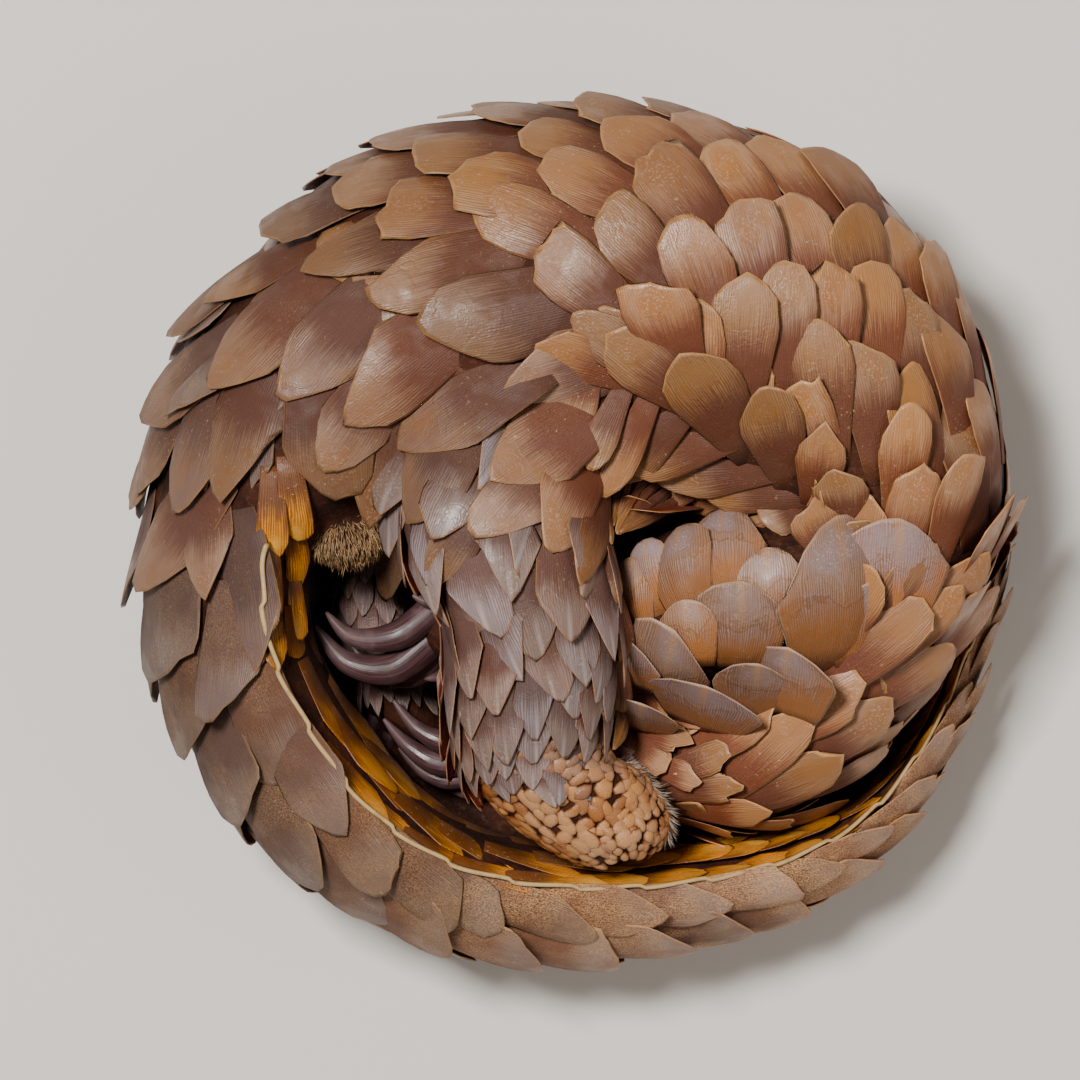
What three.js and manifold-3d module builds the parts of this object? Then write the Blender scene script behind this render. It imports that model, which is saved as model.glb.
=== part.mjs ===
// A ground pangolin curled up on its left side, life size, in millimetres with +Z up.
// It is seen from above: the body runs anticlockwise from the neck, lower right, over the top to
// the hips at the left, and the tail wraps round the bottom and ends at the right.

import * as THREE from 'three';
import { mergeVertices } from 'three/addons/utils/BufferGeometryUtils.js';
import Module from 'manifold-3d';

const wasm = await Module();
wasm.setup();

const degrees = Math.PI / 180;
const union = (solids) => wasm.Manifold.union(solids);

const gap = 0.3; // clearance between two nodes that meet
const weldTolerance = 0.01; // vertices closer than this are one
const cutGrow = 0.33; // how much a cutting node is grown, so that the gap stays clear

// Scales: thickness at the keel and at the sides, how high a tip stands off the body, and how
// deep a root is sunk.
const keelThickness = 1.9;
const sideThickness = 0.8;
const tipThickness = 0.6;
const scaleLift = 4.3;
const fullRun = 34; // shorter scales are thinner and flatter in proportion
const halfShare = 0.47; // half width of a scale in pitches from column to column
const firstRow = 0.14; // where the rows of a length begin and end, in steps from its ends
const lastRow = 0.3;
const endRoom = 0.02; // how far the tips stay from the end of a form
const rootSink = 4.2;
const scaleReach = 2.1; // length of a scale in steps from row to row
const skewShare = 0.04; // how far one side of a scale may lie ahead of the other
const tipSkew = 0.12; // how far a tip may lie off the keel
const grownHalf = 8; // half width that a grown scale is widened against
const grownRun = 14; // length that a grown scale is drawn out against

// A station of a long form is the section in the upright plane through its outer (back) and inner
// (belly) points. low and high are its heights, rim says how far from the inner to the outer point
// its upper and lower edges lie, and edge is 1 on a round section and more on a sharp-edged one.
const station = (outer, inner, low, high, rim = 0.5, edge = 1) => ({
  outerX: outer[0], outerY: outer[1], innerX: inner[0], innerY: inner[1], low, high, rim, edge,
});

// Neck, trunk and tail, as one long tube.
const bodyStations = [
  station([33, -113], [14, -64], 46, 112),
  station([72, -115], [44, -57], 42, 122),
  station([111, -93], [64, -42], 42, 132),
  station([138, -64], [71, -24], 12, 141),
  station([160, -28], [70, -2], 3, 150),
  station([175, 6], [60, 7], -5, 158),
  station([170, 55], [43, 11], -5, 168),
  station([148, 108], [31, 12], -5, 176),
  station([110, 146], [22, 12], -5, 182),
  station([57, 167], [12, 12], -5, 186),
  station([0, 173], [-6, 14], -5, 186),
  station([-52, 166], [-26, 14], -5, 184),
  station([-94, 149], [-46, 12], -5, 180),
  station([-126, 116], [-62, 8], -5, 174),
  station([-150, 87], [-72, 4], -5, 167, 0.48, 1.05),
  station([-165, 54], [-83, 0], -5, 159, 0.42, 1.15),
  station([-171, 22], [-96, -4], -5, 153, 0.34, 1.3),
  station([-174, -8], [-106, -14], -5, 150, 0.29, 1.5),
  station([-168, -52], [-104, -42], -5, 149, 0.28, 1.5),
  station([-141, -105], [-88, -72], -5, 145, 0.29, 1.5),
  station([-107, -139], [-67, -98], -5, 139, 0.32, 1.5),
  station([-55, -164], [-40, -118], -5, 132, 0.32, 1.5),
  station([0, -171], [0, -128], -5, 124, 0.3, 1.5),
  station([53, -164], [48, -129], -5, 114, 0.28, 1.5),
  station([98, -147], [89, -122], -5, 103, 0.27, 1.5),
  station([131, -122], [119, -107], -5, 91, 0.25, 1.5),
  station([156, -84], [144, -78], 1, 77, 0.25, 1.5),
  station([167, -55], [157, -51], 4, 62, 0.3, 1.4),
  station([175, -31], [167, -28], 9, 49, 0.4, 1.2),
  station([179, -10], [175, -9], 20, 34, 0.5, 1),
];

// The head, from the neck to the tip of the snout. Outer is its crown, inner its throat.
const headStations = [
  station([33, -113], [14, -64], 46, 112),
  station([12, -104], [2, -60], 38, 100),
  station([-10, -90], [-6, -53], 32, 86),
  station([-27, -72], [-15, -45], 27, 71),
  station([-38, -57], [-25, -37], 25, 58),
  station([-47, -43], [-37, -30], 25, 48),
  station([-51.5, -36], [-44.5, -27.5], 29, 42),
];

// The legs. Outer and inner are the two long edges of each, as seen from above.
const hindRightStations = [
  station([-80, 62], [10, 76], 92, 174),
  station([-73, 28], [13, 34], 100, 186),
  station([-66, 2], [14, 6], 112, 189),
  station([-55, -24], [17, -22], 118, 186),
  station([-50, -58], [16, -56], 114, 177),
  station([-46, -82], [14, -82], 106, 166),
];
const hindRightFootStations = [
  station([-46, -82], [14, -82], 106, 166),
  station([-38, -97], [27, -92], 101, 160),
  station([-24, -112], [36, -104], 97, 154),
  station([-6, -124], [38, -114], 97, 150),
  station([6, -129], [34, -122], 106, 140),
];
const foreRightStations = [
  station([118, 12], [112, -40], 100, 152),
  station([94, 13], [92, -46], 97, 161),
  station([70, 11], [70, -52], 95, 161),
  station([46, 7], [46, -58], 92, 156),
  station([22, 0], [24, -60], 82, 140),
  station([0, -6], [4, -56], 76, 106),
  station([-26, -14], [-22, -52], 72, 101),
];
const foreRightFootStations = [
  station([-26, -14], [-22, -52], 72, 101),
  station([-40, -14], [-36, -52], 71, 103),
  station([-52, -17], [-50, -50], 72, 101),
  station([-60, -22], [-59, -45], 76, 96),
];
const foreLeftStations = [
  station([87, -22], [93, -56], 3, 40),
  station([66, -44], [52, -78], 2, 39),
  station([30, -66], [22, -98], 2, 38),
  station([4, -80], [2, -110], 6, 34),
  station([-16, -84], [-20, -110], 16, 46),
];
const foreLeftFootStations = [
  station([-16, -84], [-20, -110], 16, 46),
  station([-28, -80], [-32, -106], 24, 54),
  station([-38, -78], [-42, -101], 32, 58),
  station([-44, -80], [-47, -96], 38, 55),
];
const hindLeftStations = [
  station([-100, 62], [-52, 66], 8, 84),
  station([-104, 28], [-60, 30], 4, 72),
  station([-104, 0], [-62, -2], 2, 60),
  station([-99, -30], [-62, -34], 1, 50),
  station([-92, -48], [-60, -50], 0, 44),
];
const hindLeftFootStations = [
  station([-92, -48], [-60, -50], 0, 44),
  station([-88, -62], [-56, -62], -2, 42),
  station([-80, -75], [-52, -73], -2, 38),
  station([-72, -84], [-52, -80], 4, 30),
];

const sectionSides = 14; // sides of a body section
const limbSides = 10; // sides of a limb section

// Smooth blend of a list of stations at a place along them.
function stationAt(stations, place) {
  const last = stations.length - 1;
  const first = Math.min(Math.max(Math.floor(place), 0), last - 1);
  const share = place - first;
  const pick = (index) => stations[Math.min(Math.max(index, 0), last)];
  const [a, b, c, d] = [pick(first - 1), pick(first), pick(first + 1), pick(first + 2)];
  const blended = {};
  for (const key of Object.keys(b)) {
    const [p, q, r, s] = [a[key], b[key], c[key], d[key]];
    blended[key] = q + 0.5 * share * (r - p
      + share * (2 * p - 5 * q + 4 * r - s + share * (3 * (q - r) + s - p)));
  }
  return blended;
}

// A point of a long form: angle 0 faces its outer side, a quarter turn faces up.
function surfacePoint(stations, place, angle, grow = 0) {
  const at = stationAt(stations, place);
  const span = Math.hypot(at.outerX - at.innerX, at.outerY - at.innerY);
  const outwardX = (at.outerX - at.innerX) / span;
  const outwardY = (at.outerY - at.innerY) / span;
  const across = Math.cos(angle);
  const half = (across > 0 ? 1 - at.rim : at.rim) * span + grow;
  const reach = at.rim * span + Math.sign(across) * half * Math.abs(across) ** at.edge;
  const rise = (at.high - at.low) / 2 + grow;
  return new THREE.Vector3(
    at.innerX + outwardX * reach,
    at.innerY + outwardY * reach,
    (at.high + at.low) / 2 + rise * Math.sin(angle),
  );
}

// The outward direction at that point.
function surfaceNormal(stations, place, angle) {
  const step = 0.02;
  const along = surfacePoint(stations, place + step, angle)
    .sub(surfacePoint(stations, place - step, angle));
  const round = surfacePoint(stations, place, angle + step)
    .sub(surfacePoint(stations, place, angle - step));
  const normal = along.cross(round).normalize();
  const across = surfacePoint(stations, place, angle)
    .sub(surfacePoint(stations, place, angle + Math.PI));
  return normal.dot(across) < 0 ? normal.negate() : normal;
}

// A closed solid from points and triangles, turned to face out.
function solidFrom(points, triangles) {
  const vertProperties = new Float32Array(points.flatMap((p) => [p.x, p.y, p.z]));
  let volume = 0;
  for (const [a, b, c] of triangles) {
    volume += points[a].dot(new THREE.Vector3().crossVectors(points[b], points[c]));
  }
  const faces = volume < 0 ? triangles.map(([a, b, c]) => [a, c, b]) : triangles;
  const triVerts = new Uint32Array(faces.flat());
  return new wasm.Manifold(
    new wasm.Mesh({ numProp: 3, vertProperties, triVerts, tolerance: weldTolerance }),
  );
}

// A solid from a three.js geometry.
function solidOf(geometry) {
  const bare = geometry.clone();
  bare.deleteAttribute('normal');
  bare.deleteAttribute('uv');
  const merged = mergeVertices(bare, 1e-4);
  const place = merged.getAttribute('position');
  const points = [];
  for (let i = 0; i < place.count; i += 1) {
    points.push(new THREE.Vector3().fromBufferAttribute(place, i));
  }
  const index = merged.index.array;
  const triangles = [];
  for (let i = 0; i < index.length; i += 3) triangles.push([index[i], index[i + 1], index[i + 2]]);
  return solidFrom(points, triangles);
}

// Rings of points, each joined to the next, with both ends closed.
function loftRings(rings) {
  const sides = rings[0].length;
  const points = rings.flat();
  const triangles = [];
  for (let ring = 0; ring + 1 < rings.length; ring += 1) {
    for (let side = 0; side < sides; side += 1) {
      const a = ring * sides + side;
      const b = ring * sides + ((side + 1) % sides);
      triangles.push([a, a + sides, b], [b, a + sides, b + sides]);
    }
  }
  const end = (rings.length - 1) * sides;
  for (let side = 1; side + 1 < sides; side += 1) {
    triangles.push([0, side, side + 1], [end, end + side + 1, end + side]);
  }
  return solidFrom(points, triangles);
}

// A length of a long form. Its flat ends are drawn back by half the gap, so that two lengths meet
// face to face.
function length(stations, from, to, rings, sides, grow = 0) {
  const list = [];
  for (let ring = 0; ring <= rings; ring += 1) {
    const place = from + ((to - from) * ring) / rings;
    const at = stationAt(stations, place);
    const outward = new THREE.Vector3(at.outerX - at.innerX, at.outerY - at.innerY, 0).normalize();
    const forward = new THREE.Vector3(0, 0, 1).cross(outward);
    const ahead = surfacePoint(stations, place + 0.01, 0).sub(surfacePoint(stations, place - 0.01, 0));
    if (forward.dot(ahead) < 0) forward.negate();
    const drawn = gap / 2 - grow;
    const shift = ring === 0 ? drawn : ring === rings ? -drawn : 0;
    const points = [];
    for (let side = 0; side < sides; side += 1) {
      const angle = (side / sides) * Math.PI * 2;
      points.push(surfacePoint(stations, place, angle, grow).addScaledVector(forward, shift));
    }
    list.push(points);
  }
  return loftRings(list);
}

// Seeded draw between -1 and 1.
function makeDraw(seed) {
  let state = seed;
  return () => {
    state = (state * 1664525 + 1013904223) % 4294967296;
    return (state / 4294967296) * 2 - 1;
  };
}

// Where a scale is widest: share of its length and of the height of its tip.
const widestShare = 0.72;
const widestRise = 0.76;

// One scale over a surface. root, along and half are steps in place and angle on the surface: to
// its root, from root to tip, and from keel to side.
function scale(stations, { root, along, half, lift, thickness, skew }, grow) {
  const points = [];
  const add = (share, side, height) => {
    const place = root[0] + along[0] * share + half[0] * side;
    const angle = root[1] + along[1] * share + half[1] * side;
    points.push(surfacePoint(stations, place, angle)
      .addScaledVector(surfaceNormal(stations, place, angle), height));
  };
  const size = thickness / keelThickness;
  add(0, 0, -rootSink * size);
  for (const side of [-1, 0, 1]) {
    const thick = side === 0 ? thickness : sideThickness * size;
    const share = widestShare + skew * side * skewShare;
    add(share, side * (1 + grow / grownHalf), widestRise * lift - grow);
    add(share, side * (1 + grow / grownHalf), widestRise * lift + thick + grow);
  }
  const tips = grow > 0 ? [-grow, grow] : [0];
  for (const rise of tips) add(1 + grow / grownRun, skew * tipSkew, lift + tipThickness / 2 + rise);
  const [low, high] = [7, 6 + tips.length];
  const triangles = [[0, 1, 2], [0, 6, 5], [low, 2, 1], [low, high, 2], [low, 5, 6], [low, 6, high]];
  for (const under of [1, 3]) {
    triangles.push([0, under + 2, under], [0, under + 1, under + 3]);
    triangles.push([low, under, under + 2], [high, under + 3, under + 1]);
  }
  const solid = triangles.filter(([p, q, r]) => p !== q && q !== r && r !== p);
  return solidFrom(points, solid);
}

// Staggered rows of scales along a long form, tips towards its far end, as what scale() asks for.
function rowsOfScales(stations, options) {
  const { from, to, step, columns, low, high, seed, forward = 1 } = options;
  const draw = makeDraw(seed);
  const list = [];
  const pitch = (high - low) / columns;
  const rows = Math.ceil((to - from) / step);
  for (let row = 0; row < rows; row += 1) {
    const place = from + row * step;
    const odd = (options.rowOffset ?? 0) + row;
    for (let column = 0; column < columns; column += 1) {
      const angle = low + (column + (odd % 2 ? 0.75 : 0.25)) * pitch;
      const [wobble, stretch, turn] = [draw(), draw(), draw()];
      const wanted = place + forward * step * scaleReach * (1 + 0.05 * stretch);
      const tipPlace = Math.min(Math.max(wanted, endRoom), stations.length - 1 - endRoom);
      const run = surfacePoint(stations, place, angle)
        .distanceTo(surfacePoint(stations, tipPlace, angle));
      const size = Math.min(1, run / fullRun);
      if (options.skip && options.skip(place, angle)) continue;
      list.push({
        root: [place, angle],
        along: [tipPlace - place, 0],
        half: [0, pitch * (halfShare + 0.01 * wobble)],
        lift: scaleLift * size + 0.2 * wobble * size,
        thickness: keelThickness * size,
        skew: turn,
      });
    }
  }
  return list;
}

// The largest closed piece of a solid.
function largest(solid) {
  const pieces = solid.decompose();
  return pieces.reduce((best, piece) => (piece.volume() > best.volume() ? piece : best));
}

// A claw: a bent cone along points, with a radius for each.
function horn(points, radii, sides, grow = 0) {
  const curve = new THREE.CatmullRomCurve3(points.map((p) => new THREE.Vector3(...p)));
  const rings = radii.map((radius, index) => {
    const share = index / (radii.length - 1);
    const centre = curve.getPoint(share);
    const ahead = curve.getTangent(share);
    const side = new THREE.Vector3(0, 0, 1).cross(ahead).normalize();
    const up = new THREE.Vector3().crossVectors(ahead, side);
    if (index === 0) centre.addScaledVector(ahead, -grow);
    if (index === radii.length - 1) centre.addScaledVector(ahead, grow);
    return Array.from({ length: sides }, (_, k) => {
      const angle = (k / sides) * Math.PI * 2;
      return centre.clone()
        .addScaledVector(side, Math.cos(angle) * (radius + grow))
        .addScaledVector(up, Math.sin(angle) * (radius + grow));
    });
  });
  return loftRings(rings);
}

// An egg with its own three axes: ahead, across and outward.
function egg(centre, radii, axes, grow = 0, detail = [8, 4]) {
  const geometry = new THREE.SphereGeometry(1, ...detail);
  const [ahead, across, outward] = axes;
  geometry.scale(radii[0] + grow, radii[1] + grow, radii[2] + grow);
  geometry.applyMatrix4(new THREE.Matrix4().makeBasis(ahead, across, outward));
  geometry.translate(centre.x, centre.y, centre.z);
  return solidOf(geometry);
}

// Place, outward direction and axes at a spot of a long form.
function spotOn(stations, place, angle) {
  const at = surfacePoint(stations, place, angle);
  const outward = surfaceNormal(stations, place, angle);
  const ahead = surfacePoint(stations, place + 0.05, angle)
    .sub(surfacePoint(stations, place - 0.05, angle)).normalize();
  const across = new THREE.Vector3().crossVectors(outward, ahead).normalize();
  ahead.crossVectors(across, outward).normalize();
  return { at, outward, axes: [ahead, across, outward] };
}

const root = new THREE.Group();

// Adds one node to the model.
function addNode(name, solid, colour, roughness) {
  const mesh = solid.getMesh();
  const geometry = new THREE.BufferGeometry();
  geometry.setAttribute('position', new THREE.BufferAttribute(mesh.vertProperties, 3));
  geometry.setIndex(new THREE.BufferAttribute(mesh.triVerts, 1));
  geometry.computeVertexNormals();
  const material = new THREE.MeshStandardMaterial({ color: colour, roughness, metalness: 0 });
  const node = new THREE.Mesh(geometry, material);
  node.name = name;
  root.add(node);
}

const floorSize = 600;
const floorDepth = 100;
const floorBlock = solidOf(
  new THREE.BoxGeometry(floorSize, floorSize, floorDepth).translate(0, 0, -floorDepth / 2),
);

// The lengths of the long tube: name, first and last station, rings of the section, rows of scales.
const bodyLengths = [
  { name: 'neck_front', from: 0, to: 2, rings: 3, rows: 3, columns: 7 },
  { name: 'neck_back', from: 2, to: 4, rings: 3, rows: 3, columns: 8 },
  { name: 'torso_shoulders', from: 4, to: 7, rings: 4, rows: 4, columns: 10 },
  { name: 'torso_chest', from: 7, to: 10, rings: 4, rows: 4, columns: 10 },
  { name: 'torso_loins', from: 10, to: 13.5, rings: 4, rows: 5, columns: 10 },
  { name: 'torso_hips', from: 13.5, to: 16.4, rings: 4, rows: 4, columns: 10 },
  { name: 'tail_1', from: 16.4, to: 18.8, rings: 4, rows: 3, columns: 5, tail: true },
  { name: 'tail_2', from: 18.8, to: 21.2, rings: 4, rows: 3, columns: 5, tail: true },
  { name: 'tail_3', from: 21.2, to: 23.6, rings: 4, rows: 3, columns: 5, tail: true },
  { name: 'tail_4', from: 23.6, to: 26, rings: 4, rows: 3, columns: 4, tail: true },
  { name: 'tail_5', from: 26, to: 29, rings: 5, rows: 4, columns: 3, tail: true },
];
const trunkRange = [-150, 162]; // degrees round the trunk that carry scales
const tailRange = [-58, 80]; // degrees round the back of the tail that carry scales
const bends = [0, 1.2, 2.4, 3.6]; // how far a scale may be bent up to clear its neighbours
const bendGain = 0.02; // share of the scale that each bend has to win
const leastShare = 0.5; // share of a scale that has to be clear of its neighbours
const leastRoot = 0.01; // share of a scale that has to be sunk
const floorClear = 12; // scales are left off where the body lies this close to the ground

// The limb lengths, in the order in which they lie on one another, the uppermost first.
const limbLengths = [
  { name: 'hind_leg_right', stations: hindRightStations, rings: 6 },
  { name: 'hind_foot_right', stations: hindRightFootStations, rings: 6 },
  { name: 'fore_leg_right', stations: foreRightStations, rings: 7 },
  { name: 'fore_foot_right', stations: foreRightFootStations, rings: 5 },
  { name: 'head', stations: headStations, rings: 9 },
  { name: 'fore_leg_left', stations: foreLeftStations, rings: 6 },
  { name: 'fore_foot_left', stations: foreLeftFootStations, rings: 5 },
  { name: 'hind_leg_left', stations: hindLeftStations, rings: 6 },
  { name: 'hind_foot_left', stations: hindLeftFootStations, rings: 5 },
];

// Claws: points from root to tip, and a radius at each.
const clawForms = {
  claw_fore_right_1: [[[-44, -22, 98], [-56, -25, 103], [-64, -22, 105]], [3.8, 2.8, 0.6]],
  claw_fore_right_2: [[[-54, -26, 93], [-70, -38, 95], [-88, -39, 92], [-99, -29, 90]], [6.6, 6, 3.8, 0.6]],
  claw_fore_right_3: [[[-54, -36, 86], [-72, -51, 84], [-91, -49, 82], [-104, -34, 83]], [8, 7.2, 4.6, 0.7]],
  claw_fore_right_4: [[[-52, -41, 77], [-64, -54, 70], [-79, -53, 67], [-90, -42, 68]], [6.2, 5.6, 3.4, 0.6]],
  claw_fore_right_5: [[[-44, -45, 79], [-52, -54, 76], [-60, -56, 74]], [3.8, 2.8, 0.6]],
  claw_fore_left_1: [[[-36, -80, 50], [-46, -76, 59], [-54, -70, 62]], [3.6, 2.8, 0.6]],
  claw_fore_left_2: [[[-41, -84, 49], [-53, -82, 54], [-64, -76, 54], [-73, -65, 56]], [5.2, 4.8, 3, 0.6]],
  claw_fore_left_3: [[[-42, -90, 44], [-55, -91, 45], [-67, -84, 45], [-77, -73, 48]], [6, 5.4, 3.4, 0.6]],
  claw_fore_left_4: [[[-40, -95, 38], [-51, -98, 37], [-62, -94, 37], [-71, -85, 39]], [5, 4.4, 2.8, 0.6]],
  claw_fore_left_5: [[[-33, -98, 31], [-42, -104, 27], [-50, -103, 25]], [3.6, 2.8, 0.6]],
};
const nailLength = 13;
const nailRadius = 4.2;
const nailCount = 5;
const nailArch = 5; // how far the middle nails stand ahead of the outer ones
const nailDrop = 4; // how far a nail bends down
const nailSides = 5;
const clawSides = 6;

// The short nails of a hind foot: root of each, and the way they point.
function addNails(side, firstRoot, lastRoot, firstWay, lastWay) {
  for (let nail = 0; nail < nailCount; nail += 1) {
    const share = nail / (nailCount - 1);
    const rootPoint = new THREE.Vector3(...firstRoot).lerp(new THREE.Vector3(...lastRoot), share);
    const way = new THREE.Vector3(...firstWay).lerp(new THREE.Vector3(...lastWay), share).normalize();
    rootPoint.addScaledVector(way, nailArch * Math.sin(share * Math.PI));
    const bend = new THREE.Vector3(0, 0, side === 'right' ? -1 : -0.15);
    const size = 0.82 + 0.18 * Math.sin(share * Math.PI);
    const at = (run, drop) => rootPoint.clone().addScaledVector(way, nailLength * run * size)
      .addScaledVector(bend, nailDrop * drop).toArray();
    clawForms[`claw_hind_${side}_${nail + 1}`] = [
      [at(0, 0), at(0.55, 0.3), at(1, 1)],
      [nailRadius * size, nailRadius * 0.85 * size, 0.8],
    ];
  }
}
addNails('right', [4, -118, 112], [32, -110, 114], [-0.15, -1, -0.75], [0.75, -0.45, -0.75]);
addNails('left', [-81, -73, 12], [-54, -70, 12], [-0.4, -1, -0.05], [0.75, -0.6, -0.05]);

// Whether two solids' boxes come near each other.
function near(one, other) {
  const [a, b] = [one.boundingBox(), other.boundingBox()];
  return [0, 1, 2].every((axis) => a.min[axis] < b.max[axis] + 1 && b.min[axis] < a.max[axis] + 1);
}

// A solid with everything near it in the list cut away.
function clearOf(solid, cutters) {
  let left = solid;
  for (const cutter of cutters) {
    if (near(left, cutter)) left = left.subtract(cutter);
  }
  return left;
}

// Scales of one length of the neck, trunk and tail.
function bodyScales(part, rowOffset) {
  const [low, high] = part.tail ? tailRange : trunkRange;
  const step = (part.to - part.from) / part.rows;
  return rowsOfScales(bodyStations, {
    from: part.from + firstRow * step,
    to: part.to - lastRow * step,
    step,
    columns: part.columns,
    low: low * degrees,
    high: high * degrees,
    rowOffset,
    seed: 11 + rowOffset,
    skip: (place, angle) => surfacePoint(bodyStations, place, angle).z < floorClear,
  });
}

// Scales that run down a limb: first and last row, step, columns and degrees round it.
const limbScales = {
  hind_leg_right: { from: 1.1, to: 4.7, step: 0.76, columns: 5, low: -20, high: 205, seed: 101 },
  hind_leg_left: { from: 1.1, to: 3.6, step: 0.7, columns: 3, low: -60, high: 80, seed: 103 },
  fore_leg_left: { from: 0.9, to: 3.2, step: 0.75, columns: 3, low: -60, high: 80, seed: 105 },
  head: { from: 1.4, to: 3.5, step: 0.8, columns: 3, low: -90, high: 90, seed: 107, forward: -1 },
};

// Fans of scales that lie across the right forearm, tips towards its upper edge: places along
// the arm with the width of the fan there, and the angles of the rows.
const fanPlaces = [[0.75, 1.35], [1.95, 1.1], [2.95, 0.95], [3.8, 0.8]];
const fanAngles = [170, 138, 106, 74];
const fanRun = 65.6; // degrees round the arm that a scale of a fan reaches
const fanFlat = 0.62; // height of those scales beside the body's
const fanHalf = 0.46; // half width of a scale in widths of its fan

function limbPlates(name, stations, grow) {
  if (name === 'fore_leg_right') {
    const draw = makeDraw(109);
    return fanAngles.flatMap((angle, row) => fanPlaces.map(([place, width]) => {
      const size = fanFlat * width;
      return scale(stations, {
        root: [place + (row % 2 ? 0.5 : 0) * width, angle * degrees],
        along: [0, -fanRun * degrees],
        half: [width * fanHalf, 0],
        lift: scaleLift * size,
        thickness: keelThickness * size,
        skew: draw(),
      }, grow);
    }));
  }
  const options = limbScales[name];
  if (!options) return [];
  const list = rowsOfScales(stations, {
    ...options, low: options.low * degrees, high: options.high * degrees,
  });
  return list.map((form) => scale(stations, form, grow));
}

// The furry bump at the vent, between the root of the tail and the hind leg.
const ventCentre = new THREE.Vector3(-90, 2, 119);
const ventRadii = [15, 12, 13];
const upright = [new THREE.Vector3(1, 0, 0), new THREE.Vector3(0, 1, 0), new THREE.Vector3(0, 0, 1)];

// Face: places along the head and angles from its crown, and sizes.
const eye = { place: 2.8, angle: 62, radius: 4.2, sunk: 3.2, lid: 1.5, opening: [4.6, 2.5, 3.6] };
const ear = { place: 1.45, angle: 72, cup: [8, 5.2, 3.4], pit: [5.2, 2.8, 4.6], pitLift: 1.4 };
const mouth = { place: 5.35, share: 0.3, slit: [11, 0.45, 13], lips: [10.4, 1.7, 12.1] };
const nostril = { place: 5.97, share: 0.62, apart: 2.9, radii: [3, 1.5, 1.2] };
const eyeSolids = {};

// The axes of the snout, and a point of it between throat and crown.
function snoutSpot(place, share) {
  const at = stationAt(headStations, place);
  const outward = new THREE.Vector3(at.outerX - at.innerX, at.outerY - at.innerY, 0);
  const centre = new THREE.Vector3(at.innerX, at.innerY, (at.low + at.high) / 2)
    .addScaledVector(outward, share);
  outward.normalize();
  const side = new THREE.Vector3(0, 0, 1);
  return { centre, axes: [new THREE.Vector3().crossVectors(outward, side), outward, side] };
}

// The raised forms of the face: ears, lids and lips.
function faceBumps(grow) {
  const bumps = [];
  for (const side of [1, -1]) {
    const earSpot = spotOn(headStations, ear.place, ear.angle * side * degrees);
    bumps.push(egg(earSpot.at, ear.cup, earSpot.axes, grow));
    const lidSize = eye.radius + eye.lid;
    bumps.push(egg(eyeCentre(side).centre, [lidSize, lidSize, lidSize], eyeCentre(side).axes, grow));
  }
  const lipSpot = snoutSpot(mouth.place, mouth.share);
  bumps.push(egg(lipSpot.centre, mouth.lips, lipSpot.axes, grow));
  return bumps;
}

// The middle of an eye, 1 for the right and -1 for the left.
function eyeCentre(side) {
  const spot = spotOn(headStations, eye.place, eye.angle * side * degrees);
  return { ...spot, centre: spot.at.clone().addScaledVector(spot.outward, -eye.sunk) };
}

// Cuts the ear pits, eye openings, mouth line and nostrils into the head.
function withOpenings(head) {
  let face = head;
  for (const side of [1, -1]) {
    const earSpot = spotOn(headStations, ear.place, ear.angle * side * degrees);
    const pit = earSpot.at.addScaledVector(earSpot.outward, ear.pitLift);
    const { centre, outward, axes } = eyeCentre(side);
    const socket = eye.radius + gap;
    face = face.subtract(egg(pit, ear.pit, earSpot.axes))
      .subtract(egg(centre, [socket, socket, socket], axes))
      .subtract(egg(centre.clone().addScaledVector(outward, eye.radius), eye.opening, axes));
    const name = side === 1 ? 'eye_right' : 'eye_left';
    eyeSolids[name] = egg(centre, [eye.radius, eye.radius, eye.radius], axes);
  }
  const lipSpot = snoutSpot(mouth.place, mouth.share);
  face = face.subtract(egg(lipSpot.centre, mouth.slit, lipSpot.axes));
  const nose = snoutSpot(nostril.place, nostril.share);
  for (const side of [-1, 1]) {
    const centre = nose.centre.clone().addScaledVector(nose.axes[2], side * nostril.apart);
    face = face.subtract(egg(centre, nostril.radii, nose.axes, 0, [6, 4]));
  }
  return face;
}

const bodyCore = (part, grow) => length(bodyStations, part.from, part.to, part.rings, sectionSides, grow);
const limbCore = (part, grow) => length(
  part.stations, 0, part.stations.length - 1, part.rings, limbSides, grow);
const wholeLimb = (part, grow) => union([
  limbCore(part, grow),
  ...limbPlates(part.name, part.stations, grow),
  ...(part.name === 'head' ? faceBumps(grow) : []),
]);

const bodyCores = bodyLengths.map((part) => bodyCore(part, 0));
const grownCores = bodyLengths.map((part) => bodyCore(part, cutGrow));

// Limbs: each gives way to the body and to the limbs that lie on it.
const done = {};
const grownLimbs = [];
for (const part of limbLengths) {
  const onNeck = part.name === 'head';
  const ownLeg = part.name.replace('foot', 'leg');
  const cutters = [
    ...grownCores.filter((core, index) => !(onNeck && index === 0)),
    ...grownLimbs.filter((other) => other.name !== ownLeg).map((other) => other.solid),
  ];
  const whole = part.name === 'head' ? withOpenings(wholeLimb(part, 0)) : wholeLimb(part, 0);
  done[part.name] = largest(clearOf(whole, cutters).subtract(floorBlock));
  grownLimbs.push({ name: part.name, solid: wholeLimb(part, cutGrow) });
}

// Claws: each sits in a socket of its foot and gives way to the claw before it.
const claws = {};
const grownClaws = [];
for (const [name, [points, radii]] of Object.entries(clawForms)) {
  const [, pair, side] = name.split('_');
  const foot = `${pair}_foot_${side}`;
  const sides = pair === 'hind' ? nailSides : clawSides;
  claws[name] = largest(clearOf(horn(points, radii, sides), grownClaws).subtract(floorBlock));
  const grownClaw = horn(points, radii, sides, cutGrow);
  grownClaws.push(grownClaw);
  done[foot] = largest(done[foot].subtract(grownClaw));
}

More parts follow.
